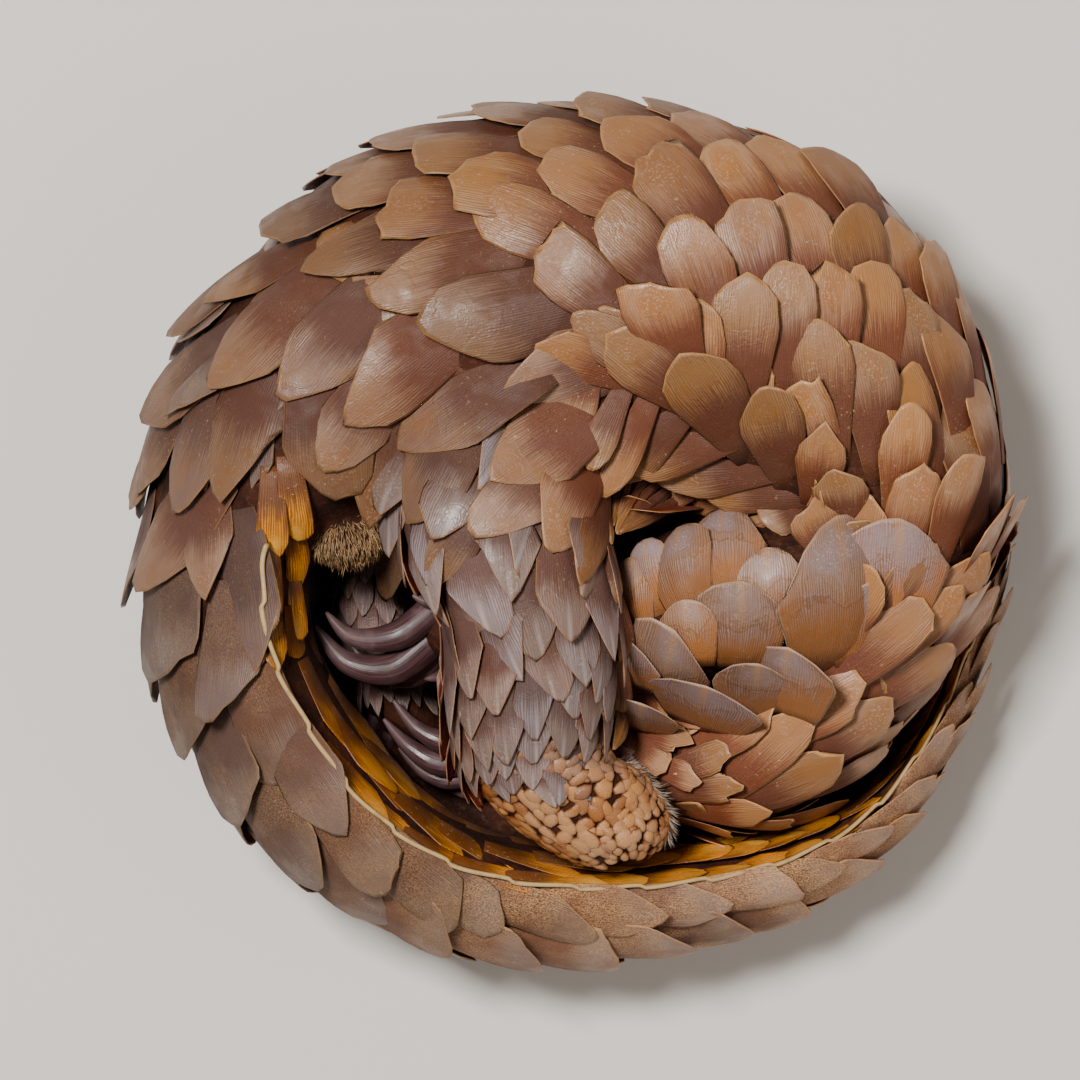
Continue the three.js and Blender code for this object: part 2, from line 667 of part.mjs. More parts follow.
// What is left of a scale once it gives way to its neighbours. Where they would cut it from its
// root it is bent up a little, and where most of it lies hidden under them it is left out.
function trimmed(form, core, cutters) {
  let best = null;
  let mostKept = leastShare;
  for (const bend of bends) {
    const plate = scale(bodyStations, { ...form, lift: form.lift + bend }, 0);
    const left = clearOf(plate, cutters);
    if (left.isEmpty()) return null;
    const piece = largest(left);
    const kept = piece.volume() / plate.volume();
    const rooted = piece.intersect(core).volume() > leastRoot * plate.volume();
    if (rooted && kept > mostKept + bendGain) [best, mostKept] = [piece, kept];
  }
  return best;
}

// The long body: its scales give way to the limbs and to the lengths that they lie over.
let rowsBefore = 0;
bodyLengths.forEach((part, index) => {
  const cutters = [
    ...grownLimbs.map((other) => other.solid),
    ...grownClaws,
    ...grownCores.filter((core, other) => other !== index),
  ];
  const core = bodyCores[index];
  const plates = bodyScales(part, rowsBefore).map((form) => trimmed(form, core, cutters));
  rowsBefore += part.rows;
  if (part.name === 'torso_hips') {
    plates.push(largest(clearOf(egg(ventCentre, ventRadii, upright), cutters)));
  }
  const whole = union([core, ...plates.filter((plate) => plate)]);
  done[part.name] = largest(whole.subtract(floorBlock));
});

const hideColour = 0x8f7a68;
const clawColour = 0x6b5558;
const eyeColour = 0x120d0a;
for (const [name, solid] of Object.entries(done)) addNode(name, solid, hideColour, 0.5);
for (const [name, solid] of Object.entries(claws)) addNode(name, solid, clawColour, 0.3);
for (const [name, solid] of Object.entries(eyeSolids)) addNode(name, solid, eyeColour, 0.1);

// The origin is on the ground under the middle of the animal's box.
const box = new THREE.Box3().setFromObject(root);
const middle = box.getCenter(new THREE.Vector3());
root.position.set(-middle.x, -middle.y, 0);

export default root;
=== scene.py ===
import math
import bpy
import numpy as np
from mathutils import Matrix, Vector


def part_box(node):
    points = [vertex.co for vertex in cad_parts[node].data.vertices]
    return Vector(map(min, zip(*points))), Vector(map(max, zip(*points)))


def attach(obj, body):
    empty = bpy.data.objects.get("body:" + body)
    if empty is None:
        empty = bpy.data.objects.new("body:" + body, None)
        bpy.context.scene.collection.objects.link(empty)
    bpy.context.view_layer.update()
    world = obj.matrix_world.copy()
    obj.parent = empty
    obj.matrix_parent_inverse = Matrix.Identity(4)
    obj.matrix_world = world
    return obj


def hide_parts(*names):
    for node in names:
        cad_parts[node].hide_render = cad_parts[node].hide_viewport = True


# A ground pangolin curled up on its left side, seen from straight above.
# Lengths in the tables are in mm, in the solids' own drawing frame; meshes are in metres.

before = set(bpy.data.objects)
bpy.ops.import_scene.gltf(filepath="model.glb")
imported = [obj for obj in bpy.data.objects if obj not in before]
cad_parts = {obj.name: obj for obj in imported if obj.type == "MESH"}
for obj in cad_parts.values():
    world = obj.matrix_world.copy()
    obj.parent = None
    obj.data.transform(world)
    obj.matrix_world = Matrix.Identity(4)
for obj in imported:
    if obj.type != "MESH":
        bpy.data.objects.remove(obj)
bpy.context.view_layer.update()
nodeNames = list(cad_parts)
print("stage: frame loaded,", len(nodeNames), "nodes")

originShift = np.array([-2.38937, -1.98988, 0.0])  # from the drawing frame to the model's own origin
mm = 0.001
rad = math.pi / 180
floorGap = 0.2  # mm between the floor and the lowest point of a mesh


# Stations of the long forms: outer x, y, inner x, y, low, high, rim share, edge power
def stations(rows):
    # rim share 0.5 and edge power 1 where a row leaves them out
    return np.array([(*row, 0.5, 1)[:8] for row in rows], float)


bodyTable = stations([
    [33, -113, 14, -64, 46, 112], [72, -115, 44, -57, 42, 122],
    [111, -93, 64, -42, 42, 132], [138, -64, 71, -24, 12, 141],
    [160, -28, 70, -5, 3, 150], [175, 6, 60, 7, -5, 158],
    [170, 55, 43, 11, -5, 168], [148, 108, 31, 12, -5, 176],
    [110, 146, 22, 12, -5, 182], [57, 167, 12, 12, -5, 186],
    [0, 173, -6, 14, -5, 186], [-52, 166, -26, 14, -5, 184],
    [-94, 149, -46, 12, -5, 180], [-126, 116, -62, 8, -5, 174],
    [-150, 87, -72, 4, -5, 167, 0.48, 1.05], [-165, 54, -83, 0, -5, 159, 0.42, 1.15],
    [-171, 22, -96, -4, -5, 153, 0.34, 1.3], [-174, -8, -106, -14, -5, 150, 0.29, 1.5],
    [-168, -52, -104, -42, -5, 149, 0.28, 1.5], [-141, -105, -88, -72, -5, 145, 0.29, 1.5],
    [-107, -139, -67, -98, -5, 139, 0.32, 1.5], [-55, -164, -40, -118, -5, 132, 0.32, 1.5],
    [0, -171, 0, -128, -5, 124, 0.3, 1.5], [53, -164, 48, -129, -5, 114, 0.28, 1.5],
    [98, -147, 89, -122, -5, 103, 0.27, 1.5], [131, -122, 119, -107, -5, 91, 0.25, 1.5],
    [156, -84, 144, -78, 1, 77, 0.25, 1.5], [167, -55, 157, -51, 4, 62, 0.3, 1.4],
    [175, -31, 167, -28, 9, 49, 0.4, 1.2], [179, -10, 175, -9, 20, 34],
])
headTable = stations([
    [33, -113, 14, -64, 46, 112], [12, -104, 2, -60, 38, 100],
    [-10, -90, -6, -53, 32, 86], [-27, -72, -15, -45, 27, 71],
    [-38, -57, -25, -37, 25, 58], [-47, -43, -37, -30, 25, 48],
    [-51.5, -36, -44.5, -27.5, 29, 42],
])
hindRightTable = stations([
    [-80, 62, 10, 76, 92, 174], [-73, 28, 13, 34, 100, 186],
    [-66, 2, 14, 6, 112, 189], [-55, -24, 17, -22, 118, 186],
    [-50, -58, 16, -56, 114, 177], [-46, -82, 14, -82, 106, 166],
    [-38, -97, 27, -92, 101, 160], [-24, -112, 36, -104, 97, 154],
    [-6, -124, 38, -114, 97, 150], [6, -129, 34, -122, 106, 140],
])
foreRightTable = stations([
    [118, 12, 112, -40, 100, 152], [94, 13, 92, -46, 97, 161],
    [70, 11, 70, -52, 95, 161], [46, 7, 46, -58, 92, 156],
    [22, 0, 24, -60, 82, 140], [0, -6, 4, -56, 76, 106],
    [-26, -14, -22, -52, 72, 101], [-40, -14, -36, -52, 71, 103],
    [-52, -17, -50, -50, 72, 101], [-60, -22, -59, -45, 76, 96],
])
foreLeftTable = stations([
    [87, -22, 93, -56, 3, 40], [66, -44, 52, -78, 2, 39],
    [30, -66, 22, -98, 2, 38], [4, -80, 2, -110, 6, 34],
    [-16, -84, -20, -110, 16, 46], [-28, -80, -32, -106, 24, 54],
    [-38, -78, -42, -101, 32, 58], [-44, -80, -47, -96, 38, 55],
])
hindLeftTable = stations([
    [-100, 62, -52, 66, 8, 84], [-104, 28, -60, 30, 4, 72],
    [-104, 0, -62, -2, 2, 60], [-99, -30, -62, -34, 1, 50],
    [-92, -48, -60, -50, 0, 44], [-88, -62, -56, -62, -2, 42],
    [-80, -75, -52, -73, -2, 38], [-72, -84, -52, -80, 4, 30],
])


def blendStations(table, place):
    # Catmull-Rom blend of the four stations round a place
    last = len(table) - 1
    first = np.clip(np.floor(place).astype(int), 0, last - 1)
    t = (place - first)[..., None]
    p, q, r, s = (table[np.clip(first + k, 0, last)] for k in (-1, 0, 1, 2))
    return q + 0.5 * t * (r - p + t * (2 * p - 5 * q + 4 * r - s + t * (3 * (q - r) + s - p)))


def formPoint(table, place, angle, lift=0.0):
    # upright section through the outer and inner points: reach = rim share of the span plus half
    # the span times the cosine of the angle, to the edge power; height = middle plus rise times the sine
    place, angle = np.broadcast_arrays(np.asarray(place, float), np.asarray(angle, float))
    at = blendStations(table, place)
    outer, inner = at[..., 0:2], at[..., 2:4]
    low, high, rim, edge = (at[..., column] for column in range(4, 8))
    way = outer - inner
    span = np.linalg.norm(way, axis=-1)
    way = way / span[..., None]
    across = np.cos(angle)
    half = np.where(across > 0, 1 - rim, rim) * span + lift
    reach = rim * span + np.sign(across) * half * np.abs(across) ** edge
    z = (low + high) / 2 + ((high - low) / 2 + lift) * np.sin(angle)
    return np.concatenate([inner + way * reach[..., None], z[..., None]], -1)


def unit(v):
    return v / np.maximum(np.linalg.norm(v, axis=-1, keepdims=True), 1e-9)


def formFrame(table, place, angle, step=0.02):
    # point, way towards the far end, way round, outward normal, and how many mm a unit step makes
    point = formPoint(table, place, angle)
    dPlace = (formPoint(table, place + step, angle) - formPoint(table, place - step, angle)) / (2 * step)
    dAngle = (formPoint(table, place, angle + step) - formPoint(table, place, angle - step)) / (2 * step)
    normal = unit(np.cross(dPlace, dAngle))
    flip = np.sum(normal * (point - formPoint(table, place, angle + math.pi)), -1) < 0
    normal = np.where(flip[..., None], -normal, normal)
    return point, dPlace, dAngle, normal


def seeded(seed):
    return np.random.default_rng(seed)


def smooth(x, low, high):
    # soft step from 0 at low to 1 at high
    t = np.clip((x - low) / (high - low), 0, 1)
    return t * t * (3 - 2 * t)


def addMesh(name, points, faces, material, uv=None, bake=None, values=None, smoothed=True):
    # one mesh object at the origin, from mm points in the drawing frame and a face array; every piece rides
    # on the root and takes its slot
    mesh = bpy.data.meshes.new(name)
    points = points.reshape(-1, 3).copy()
    points[:, 2] = np.maximum(points[:, 2], floorGap)
    points = (points + originShift) * mm
    faces = np.asarray(faces)
    mesh.vertices.add(len(points))
    mesh.vertices.foreach_set("co", points.astype(np.float32).ravel())
    mesh.loops.add(faces.size)
    mesh.loops.foreach_set("vertex_index", faces.astype(np.int32).ravel())
    mesh.polygons.add(len(faces))
    mesh.polygons.foreach_set("loop_start", np.arange(0, faces.size, faces.shape[1], dtype=np.int32))
    mesh.polygons.foreach_set("loop_total", np.full(len(faces), faces.shape[1], np.int32))
    mesh.update(calc_edges=True)
    mesh.validate()
    corner = np.zeros(len(mesh.loops), np.int32)
    mesh.loops.foreach_get("vertex_index", corner)
    for layer, coords in (("ShapeUV", uv), ("OFBake", bake)):
        if coords is not None:
            made = mesh.uv_layers.new(name=layer)
            made.data.foreach_set("uv", coords.reshape(-1, 2)[corner].astype(np.float32).ravel())
    for key, data in (values or {}).items():
        made = mesh.attributes.new(key, "FLOAT", "POINT")
        made.data.foreach_set("value", np.asarray(data, np.float32).ravel())
    if smoothed:
        mesh.polygons.foreach_set("use_smooth", np.ones(len(mesh.polygons), bool))
    mesh.materials.append(material)
    piece = bpy.data.objects.new(name, mesh)
    bpy.context.scene.collection.objects.link(piece)
    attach(piece, "root")
    return piece


# Camera: straight down, the photograph's 1080 pixels are 432 mm at the middle height of the animal
cameraSet = {"middle": (-13.2, 0.0), "plane": 95.0, "distance": 2400.0, "width": 432.0, "sensor": 36.0}
cameraData = bpy.data.cameras.new("camera")
cameraData.sensor_width = cameraSet["sensor"]
cameraData.lens = cameraSet["sensor"] * cameraSet["distance"] / cameraSet["width"]
cameraData.clip_end = 100
camera = bpy.data.objects.new("camera", cameraData)
bpy.context.scene.collection.objects.link(camera)
camera.location = Vector((np.array([*cameraSet["middle"], cameraSet["plane"] + cameraSet["distance"]])
                          + originShift) * mm)
bpy.context.scene.camera = camera
print("stage: camera set")


# Material helpers. A socket or a plain value goes in; the node tree is found from the sockets.
def newMaterial(name):
    material = bpy.data.materials.new(name)
    material.use_nodes = True
    return material, material.node_tree, material.node_tree.nodes["Principled BSDF"]


def node(tree, kind, **settings):
    made = tree.nodes.new(kind)
    for key, value in settings.items():
        setattr(made, key, value)
    return made


def fill(socket, value):
    # links a socket, or sets its number or colour
    if hasattr(value, "id_data"):
        value.id_data.links.new(value, socket)
    else:
        socket.default_value = (*value, 1) if isinstance(value, tuple) else value


def reckon(operation, *values, clamp=False):
    # one step of arithmetic
    tree = next(value.id_data for value in values if hasattr(value, "id_data"))
    made = node(tree, "ShaderNodeMath", operation=operation, use_clamp=clamp)
    for socket, value in zip(made.inputs, values):
        fill(socket, value)
    return made.outputs[0]


def times(a, b):
    return reckon("MULTIPLY", a, b)


def plus(a, b, clamp=False):
    return reckon("ADD", a, b, clamp=clamp)


def scaled(colour, factor):
    made = node(colour.id_data, "ShaderNodeVectorMath", operation="SCALE")
    fill(made.inputs[0], colour)
    fill(made.inputs["Scale"], factor)
    return made.outputs[0]


def combined(*parts):
    made = node(parts[0].id_data, "ShaderNodeCombineXYZ")
    for socket, value in zip(made.inputs, parts):
        fill(socket, value)
    return made.outputs[0]


def mixColour(factor, a, b):
    made = node(factor.id_data, "ShaderNodeMix", data_type="RGBA")
    for socket, value in ((made.inputs[0], factor), (made.inputs[6], a), (made.inputs[7], b)):
        fill(socket, value)
    return made.outputs[2]


def layered(base, *layers):
    # colours laid over the base one after another, each by its own mask
    for mask, colour in layers:
        base = mixColour(mask, base, colour)
    return base


def rangeOf(value, low, high, outLow=0.0, outHigh=1.0):
    # soft step between two outer values, from low to high
    made = node(value.id_data, "ShaderNodeMapRange", clamp=True, interpolation_type="SMOOTHSTEP")
    for key, given in (("Value", value), ("From Min", low), ("From Max", high), ("To Min", outLow),
                       ("To Max", outHigh)):
        fill(made.inputs[key], given)
    return made.outputs["Result"]


def noiseOf(vector, scale, detail=3.0, rough=0.6):
    made = node(vector.id_data, "ShaderNodeTexNoise")
    for key, given in (("Vector", vector), ("Scale", scale), ("Detail", detail), ("Roughness", rough)):
        fill(made.inputs[key], given)
    return made.outputs["Fac"]


def valueOf(tree, name):
    return node(tree, "ShaderNodeAttribute", attribute_name=name).outputs["Fac"]


def objectOf(tree):
    return node(tree, "ShaderNodeTexCoord").outputs["Object"]


def shapeOf(tree):
    return node(tree, "ShaderNodeUVMap", uv_map="ShapeUV").outputs[0]


def surface(shader, base, rough, specular=0.5, height=None, strength=0.5, depth=0.0006):
    # what goes into a material's shader; the bump's depth is in metres
    fill(shader.inputs["Base Color"], base)
    fill(shader.inputs["Roughness"], rough)
    shader.inputs["Specular IOR Level"].default_value = specular
    if height is not None:
        bump = node(base.id_data, "ShaderNodeBump")
        for key, given in (("Strength", strength), ("Distance", depth), ("Height", height)):
            fill(bump.inputs[key], given)
        fill(shader.inputs["Normal"], bump.outputs[0])


# Horn: the relief and markings that every scale shares. ShapeUV holds centimetres on the scale itself,
# cross and run are its shares from side to side and from root to tip.
def hornGroup():
    group = bpy.data.node_groups.new("hornMarks", "ShaderNodeTree")
    for name in ("Lines", "Rings", "Chips", "Bare"):
        group.interface.new_socket(name=name, in_out="INPUT", socket_type="NodeSocketFloat")
    ins = node(group, "NodeGroupInput").outputs
    where = objectOf(group)
    split = node(group, "ShaderNodeSeparateXYZ")
    fill(split.inputs[0], shapeOf(group))
    sideways, lengthways = split.outputs[0], split.outputs[1]
    cross, run, seed = (valueOf(group, key) for key in ("cross", "run", "seed"))
    onScale = lambda acrossScale, alongScale: combined(
        times(sideways, acrossScale), times(lengthways, alongScale), times(seed, 37.0))

    fromMiddle = reckon("ABSOLUTE", plus(cross, -0.5))
    blotch = noiseOf(onScale(1.1, 0.7), 1.0, 3.0, 0.55)
    # distance from the worn spot near the tip, in shares of the scale, made uneven by the blotches
    spotAcross, spotAlong = times(plus(cross, -0.5), 1.25), times(plus(run, -0.84), 1.9)
    away = reckon("SQRT", plus(times(spotAcross, spotAcross), times(spotAlong, spotAlong)))
    away = plus(away, times(plus(blotch, -0.5), 0.9))
    # wavy lines from root to tip: half a sine across the scale, half a stretched noise
    waver = noiseOf(onScale(2.2, 0.5), 1.0, 2.0, 0.5)
    lines = plus(times(reckon("SINE", plus(times(sideways, 60.0), times(waver, 16.0))), 0.28), 0.5)
    fineLines = noiseOf(onScale(17.0, 0.7), 1.0, 2.0)
    both = plus(times(lines, 0.5), times(fineLines, 0.5))
    baseward = rangeOf(away, 0.16, 0.5, 0.18, 1.0)
    # growth rings: noise along the distance from the worn spot
    rings = noiseOf(combined(times(away, 14.0), times(seed, 91.0)), 1.0, 2.0, 0.7)
    height = plus(times(times(both, baseward), ins["Lines"]), times(rings, ins["Rings"]))
    height = plus(height, times(noiseOf(where, 1100.0, 2.0), ins["Chips"]))
    strength = rangeOf(reckon("FRACT", times(seed, 7.31)), 0.15, 0.9, 0.25, 1.0)
    # Root: darker towards the root and the covered sides, partly the base's own colour and partly painted
    # shade where the neighbours cover it
    rootAlong = plus(plus(run, times(plus(fineLines, -0.5), 0.3)), ins["Bare"])
    rootSide = times(rangeOf(fromMiddle, 0.22, 0.46), rangeOf(run, 0.6, 0.96, 0.9, 0))
    marks = {
        "Height": height,
        "Stripe": plus(times(plus(rangeOf(both, 0.38, 0.62), -0.5), baseward), 0.5),
        "Worn": times(rangeOf(away, 0.02, 0.46, 1, 0), strength),
        "Halo": times(times(rangeOf(away, 0.16, 0.42), rangeOf(away, 0.4, 0.8, 1, 0)), strength),
        # Edge: a rim round each scale; on most scales it is a pale rim painted as light shining through the
        # thin horn
        "Edge": reckon("MAXIMUM", rangeOf(fromMiddle, 0.472, 0.5), rangeOf(run, 0.972, 1.0)),
        "Root": reckon("MAXIMUM", rangeOf(rootAlong, 0.48, 0.82, 1, 0), rootSide),
        "Blotch": blotch,
        "Speck": rangeOf(noiseOf(where, 620.0, 2.0, 0.7), 0.64, 0.72),
        "Gloss": rangeOf(noiseOf(where, 55.0, 2.0), 0.42, 0.62),
        "Keel": times(rangeOf(fromMiddle, 0.0, 0.07, 1, 0), rangeOf(run, 0.5, 0.95)),
        "Growth": times(rangeOf(rings, 0.52, 0.6), rangeOf(away, 0.2, 0.45)),
    }
    for name in marks:
        group.interface.new_socket(name=name, in_out="OUTPUT", socket_type="NodeSocketFloat")
    outs = node(group, "NodeGroupOutput")
    for name, value in marks.items():
        fill(outs.inputs[name], value)
    return group


hornMarks = hornGroup()


def hornMaterial(name, colours, lines=0.42, rings=0.6, chips=0.14, gloss=0.34, wear=0.6, keel=0.0, bare=0.0,
                 growth=0.2):
    # tan and dark stripes, tinted mauve by tone, with a worn spot and a pale ring round it near the tip,
    # a pale edge painted as light shining through the thin horn, a red-brown root and underside, partly own
    # colour and partly painted shade where the neighbours cover them, painted highlight glints on the worn
    # spot, and dust;
    # rougher where dusty, at the root and at specks
    material, tree, shader = newMaterial(name)
    marks = node(tree, "ShaderNodeGroup", node_tree=hornMarks)
    for key, number in (("Lines", lines), ("Rings", rings), ("Chips", chips), ("Bare", bare)):
        marks.inputs[key].default_value = number
    out = marks.outputs
    tone, seed, dust, under, shade = (
        valueOf(tree, key) for key in ("tone", "seed", "dust", "under", "shade"))
    where = objectOf(tree)
    patch = noiseOf(where, 30.0)
    patchy = rangeOf(plus(out["Blotch"], times(plus(seed, -0.5), 0.3)), 0.3, 0.62, 0.5, 1.0)
    warm = rangeOf(tone, 0.1, 1.0, 1.0, 0.2)
    drift = reckon("FRACT", times(seed, 3.73))
    settled = times(rangeOf(patch, 0.35, 0.65, 0.15, 1.0),
                    rangeOf(noiseOf(where, 1500.0, 2.0, 0.8), 0.4, 0.6))
    # painted highlight: near-white glints on the worn spot near the tip
    glint = times(rangeOf(out["Worn"], 0.25, 0.65), rangeOf(noiseOf(where, 950.0, 3.0, 0.75), 0.54, 0.62))
    base = layered(
        mixColour(out["Stripe"], colours["dark"], colours["tan"]),
        (times(tone, patchy), mixColour(out["Stripe"], colours["mauveDark"], colours["mauve"])),
        (times(warm, rangeOf(out["Blotch"], 0.5, 0.75, 0.0, 0.4)), colours["deep"]),
        (times(out["Worn"], wear), colours["worn"]),
        (times(out["Halo"], 0.34), colours["halo"]),
        (times(out["Keel"], keel), colours["halo"]),
        (times(warm, rangeOf(drift, 0.4, 1.0, 0.0, 0.45)), colours["deep"]),
        (times(out["Growth"], growth), colours["dark"]),
        # root: partly the base's own colour, partly painted shade where the neighbours cover it, reddened as
        # light shining through
        (times(out["Root"], 0.9),
         mixColour(rangeOf(tone, 0.2, 1.0, 0.0, 0.7), colours["root"], colours["coolRoot"])))
    # over that: the edge, painted as light shining through the thin horn; dust; specks; painted highlight
    # glints; and the underside, painted shade reddened as light shining through
    base = layered(
        scaled(base, rangeOf(seed, 0.0, 1.0, 0.78, 1.2)),
        (times(out["Edge"], 0.6), colours["edge"]),
        (times(dust, settled), colours["dust"]),
        (times(out["Speck"], rangeOf(patch, 0.45, 0.65, 0.04, 0.4)), colours["speck"]),
        (times(glint, 0.2), colours["glint"]),
        (rangeOf(under, 0.55, 0.95), colours["under"]))
    rough = plus(rangeOf(out["Gloss"], 0.0, 1.0, gloss + 0.2, gloss), times(dust, 0.22))
    rough = plus(plus(rough, times(out["Root"], 0.25)), times(out["Speck"], 0.25), clamp=True)
    # the shade value scales the whole colour: partly painted light and shade, partly the scales' own lighter
    # or darker tone
    surface(shader, scaled(base, shade), rough, 0.55, out["Height"], 0.5, 0.001)
    return material


# root, coolRoot and under: painted shade in the covered gaps, reddened as light shining through the horn;
# edge: a pale rim painted as light shining through; glint: painted highlight
bodyColours = {
    "tan": (0.36, 0.16, 0.04), "dark": (0.17, 0.058, 0.01), "deep": (0.24, 0.08, 0.016),
    "mauve": (0.205, 0.15, 0.162), "mauveDark": (0.09, 0.058, 0.062), "worn": (0.36, 0.15, 0.045),
    "halo": (0.46, 0.29, 0.19), "edge": (0.48, 0.24, 0.08), "root": (0.085, 0.012, 0.0006),
    "coolRoot": (0.075, 0.042, 0.037), "glint": (0.62, 0.58, 0.58),
    "dust": (0.3, 0.15, 0.06), "speck": (0.62, 0.48, 0.34), "under": (0.16, 0.018, 0.002)}
trunkHorn = hornMaterial("trunkHorn", bodyColours, wear=0.35)
tailHorn = hornMaterial("tailHorn", {
    **bodyColours, "tan": (0.27, 0.14, 0.06), "dark": (0.13, 0.06, 0.028), "deep": (0.16, 0.06, 0.018),
    "mauve": (0.18, 0.125, 0.118), "mauveDark": (0.085, 0.054, 0.052), "worn": (0.17, 0.11, 0.095),
    "halo": (0.27, 0.19, 0.15), "edge": (0.38, 0.2, 0.07), "root": (0.13, 0.035, 0.006),
    "dust": (0.42, 0.23, 0.1)}, lines=0.7, rings=0.5, chips=0.3, wear=0.5, gloss=0.4)
amberHorn = hornMaterial("amberHorn", {
    **bodyColours, "coolRoot": (0.05, 0.011, 0.001), "glint": (0.7, 0.42, 0.12),
    "tan": (0.62, 0.24, 0.012), "dark": (0.26, 0.065, 0.003), "deep": (0.1, 0.022, 0.001),
    "mauve": (0.4, 0.17, 0.01), "mauveDark": (0.07, 0.016, 0.001), "worn": (0.5, 0.26, 0.04),
    "halo": (0.34, 0.14, 0.015), "edge": (0.12, 0.035, 0.003), "root": (0.05, 0.011, 0.001),
    "dust": (0.2, 0.09, 0.0), "under": (0.3, 0.08, 0.004)}, gloss=0.24, wear=0.7, lines=0.2, bare=0.15)
legHorn = hornMaterial("legHorn", {
    **bodyColours, "tan": (0.26, 0.165, 0.11), "mauve": (0.26, 0.225, 0.25), "mauveDark": (0.1, 0.074, 0.08),
    "halo": (0.46, 0.36, 0.34), "worn": (0.27, 0.19, 0.15), "edge": (0.5, 0.22, 0.06)}, wear=0.4, keel=0.6)
armHorn = hornMaterial("armHorn", {
    **bodyColours, "tan": (0.36, 0.185, 0.085), "mauve": (0.3, 0.215, 0.228),
    "mauveDark": (0.15, 0.09, 0.085), "worn": (0.31, 0.23, 0.24), "halo": (0.38, 0.19, 0.07),
    "deep": (0.33, 0.15, 0.05), "edge": (0.5, 0.32, 0.2), "root": (0.3, 0.095, 0.01),
    "coolRoot": (0.3, 0.1, 0.016), "dust": (0.3, 0.17, 0.09)},
    lines=1.1, rings=0.7, keel=0.6, bare=0.16, growth=0.5)
print("stage: horn ready")


# Scales
scaleGrid = {
    "rows": 9, "top": 9,         # of the grid on the upper face; the lower face has a point between every two
    "widest": 0.74,              # share of the length where a scale reaches its full width
    "rootWidth": 0.6,            # width at the root beside the widest
    "tipWidth": 0.93,            # and of the tip's corners
    "rim": 0.93,                 # place of the last row of points before the edge
    "thick": 1.6, "thin": 0.45,  # mm at the keel and at the edge
}
# Corners of the pieces' places on the bake map (left, bottom, right, top), and the side of a scale's patch
bakePatch = 0.003
bakeBoxes = {
    "trunk": (0.02, 0.02, 0.5, 0.5), "neck": (0.02, 0.52, 0.25, 0.98), "tail": (0.27, 0.52, 0.6, 0.98),
    "tailBelly": (0.62, 0.52, 0.78, 0.98), "ventSide": (0.8, 0.52, 0.84, 0.6),
    "hindLeg": (0.52, 0.02, 0.7, 0.5), "armFans": (0.72, 0.02, 0.85, 0.3),
    "foreLeft": (0.87, 0.02, 0.97, 0.2), "hindLeft": (0.87, 0.22, 0.97, 0.4),
    "head": (0.87, 0.42, 0.97, 0.6), "foot": (0.72, 0.32, 0.85, 0.5), "vent": (0.72, 0.62, 0.85, 0.8),
    "ankle": (0.72, 0.82, 0.85, 0.98),
}


def onBake(box, share):
    # a share of both sides of a box, as a place on the bake map
    low, high = np.array(bakeBoxes[box][:2]), np.array(bakeBoxes[box][2:])
    return low + share * (high - low)


def gridFaces(rows, ring, closed=False):
    # four corner numbers of each cell of a grid whose rows are rings: its own, the next row's, both next, and
    # the next in the ring; closed also joins the last row to the first
    r, k = np.divmod(np.arange((rows - (not closed)) * ring), ring)
    nextRow, following = (r + 1) % rows * ring, (k + 1) % ring
    return r * ring + k, nextRow + k, nextRow + following, r * ring + following


def triangles(*corners):
    return np.concatenate([np.stack(three, -1) for three in corners])


def tubeFaces(rows, ring, closed=False):
    # triangles of the grid, and of two fans that close its ends at the two points after it
    b, c, d, e = gridFaces(rows, ring, closed)
    if closed:
        return triangles((b, e, d), (b, d, c))
    k, last, end = np.arange(ring), (rows - 1) * ring, np.full(ring, rows * ring)
    following = (k + 1) % ring
    return triangles((b, e, d), (b, d, c), (k, end, following), (last + k, last + following, end + 1))


def facedOut(points, tris, middle):
    # turned over if the first triangle faces the middle
    a, b, c = points[tris[0]]
    return tris if np.dot(np.cross(b - a, c - a), a - middle) >= 0 else tris[:, ::-1]


def full(value, n):
    # one value for each of n spots
    return np.broadcast_to(np.asarray(value, float), (n,)).copy()


def scaleFaces():
    # one closed shell: rows of rings, and the two ends closed by strips between upper and lower points
    top, rows = scaleGrid["top"], scaleGrid["rows"]
    under = (top - 3) // 2
    ring = top + under
    a, b, c, d = gridFaces(rows, ring)
    tris = [triangles((a, b, c), (a, c, d))]
    lower = [0] + list(range(ring - 1, top - 1, -1)) + [top - 1]
    cap = []
    for part in range(len(lower) - 1):
        first, middle, last = 2 * part, 2 * part + 1, 2 * part + 2
        cap += [(first, lower[part], middle), (middle, lower[part], lower[part + 1]),
                (middle, lower[part + 1], last)]
    cap = np.array([tri for tri in cap if len(set(tri)) == 3])
    tris += [cap + (rows - 1) * ring, cap[:, ::-1]]
    return np.concatenate(tris)


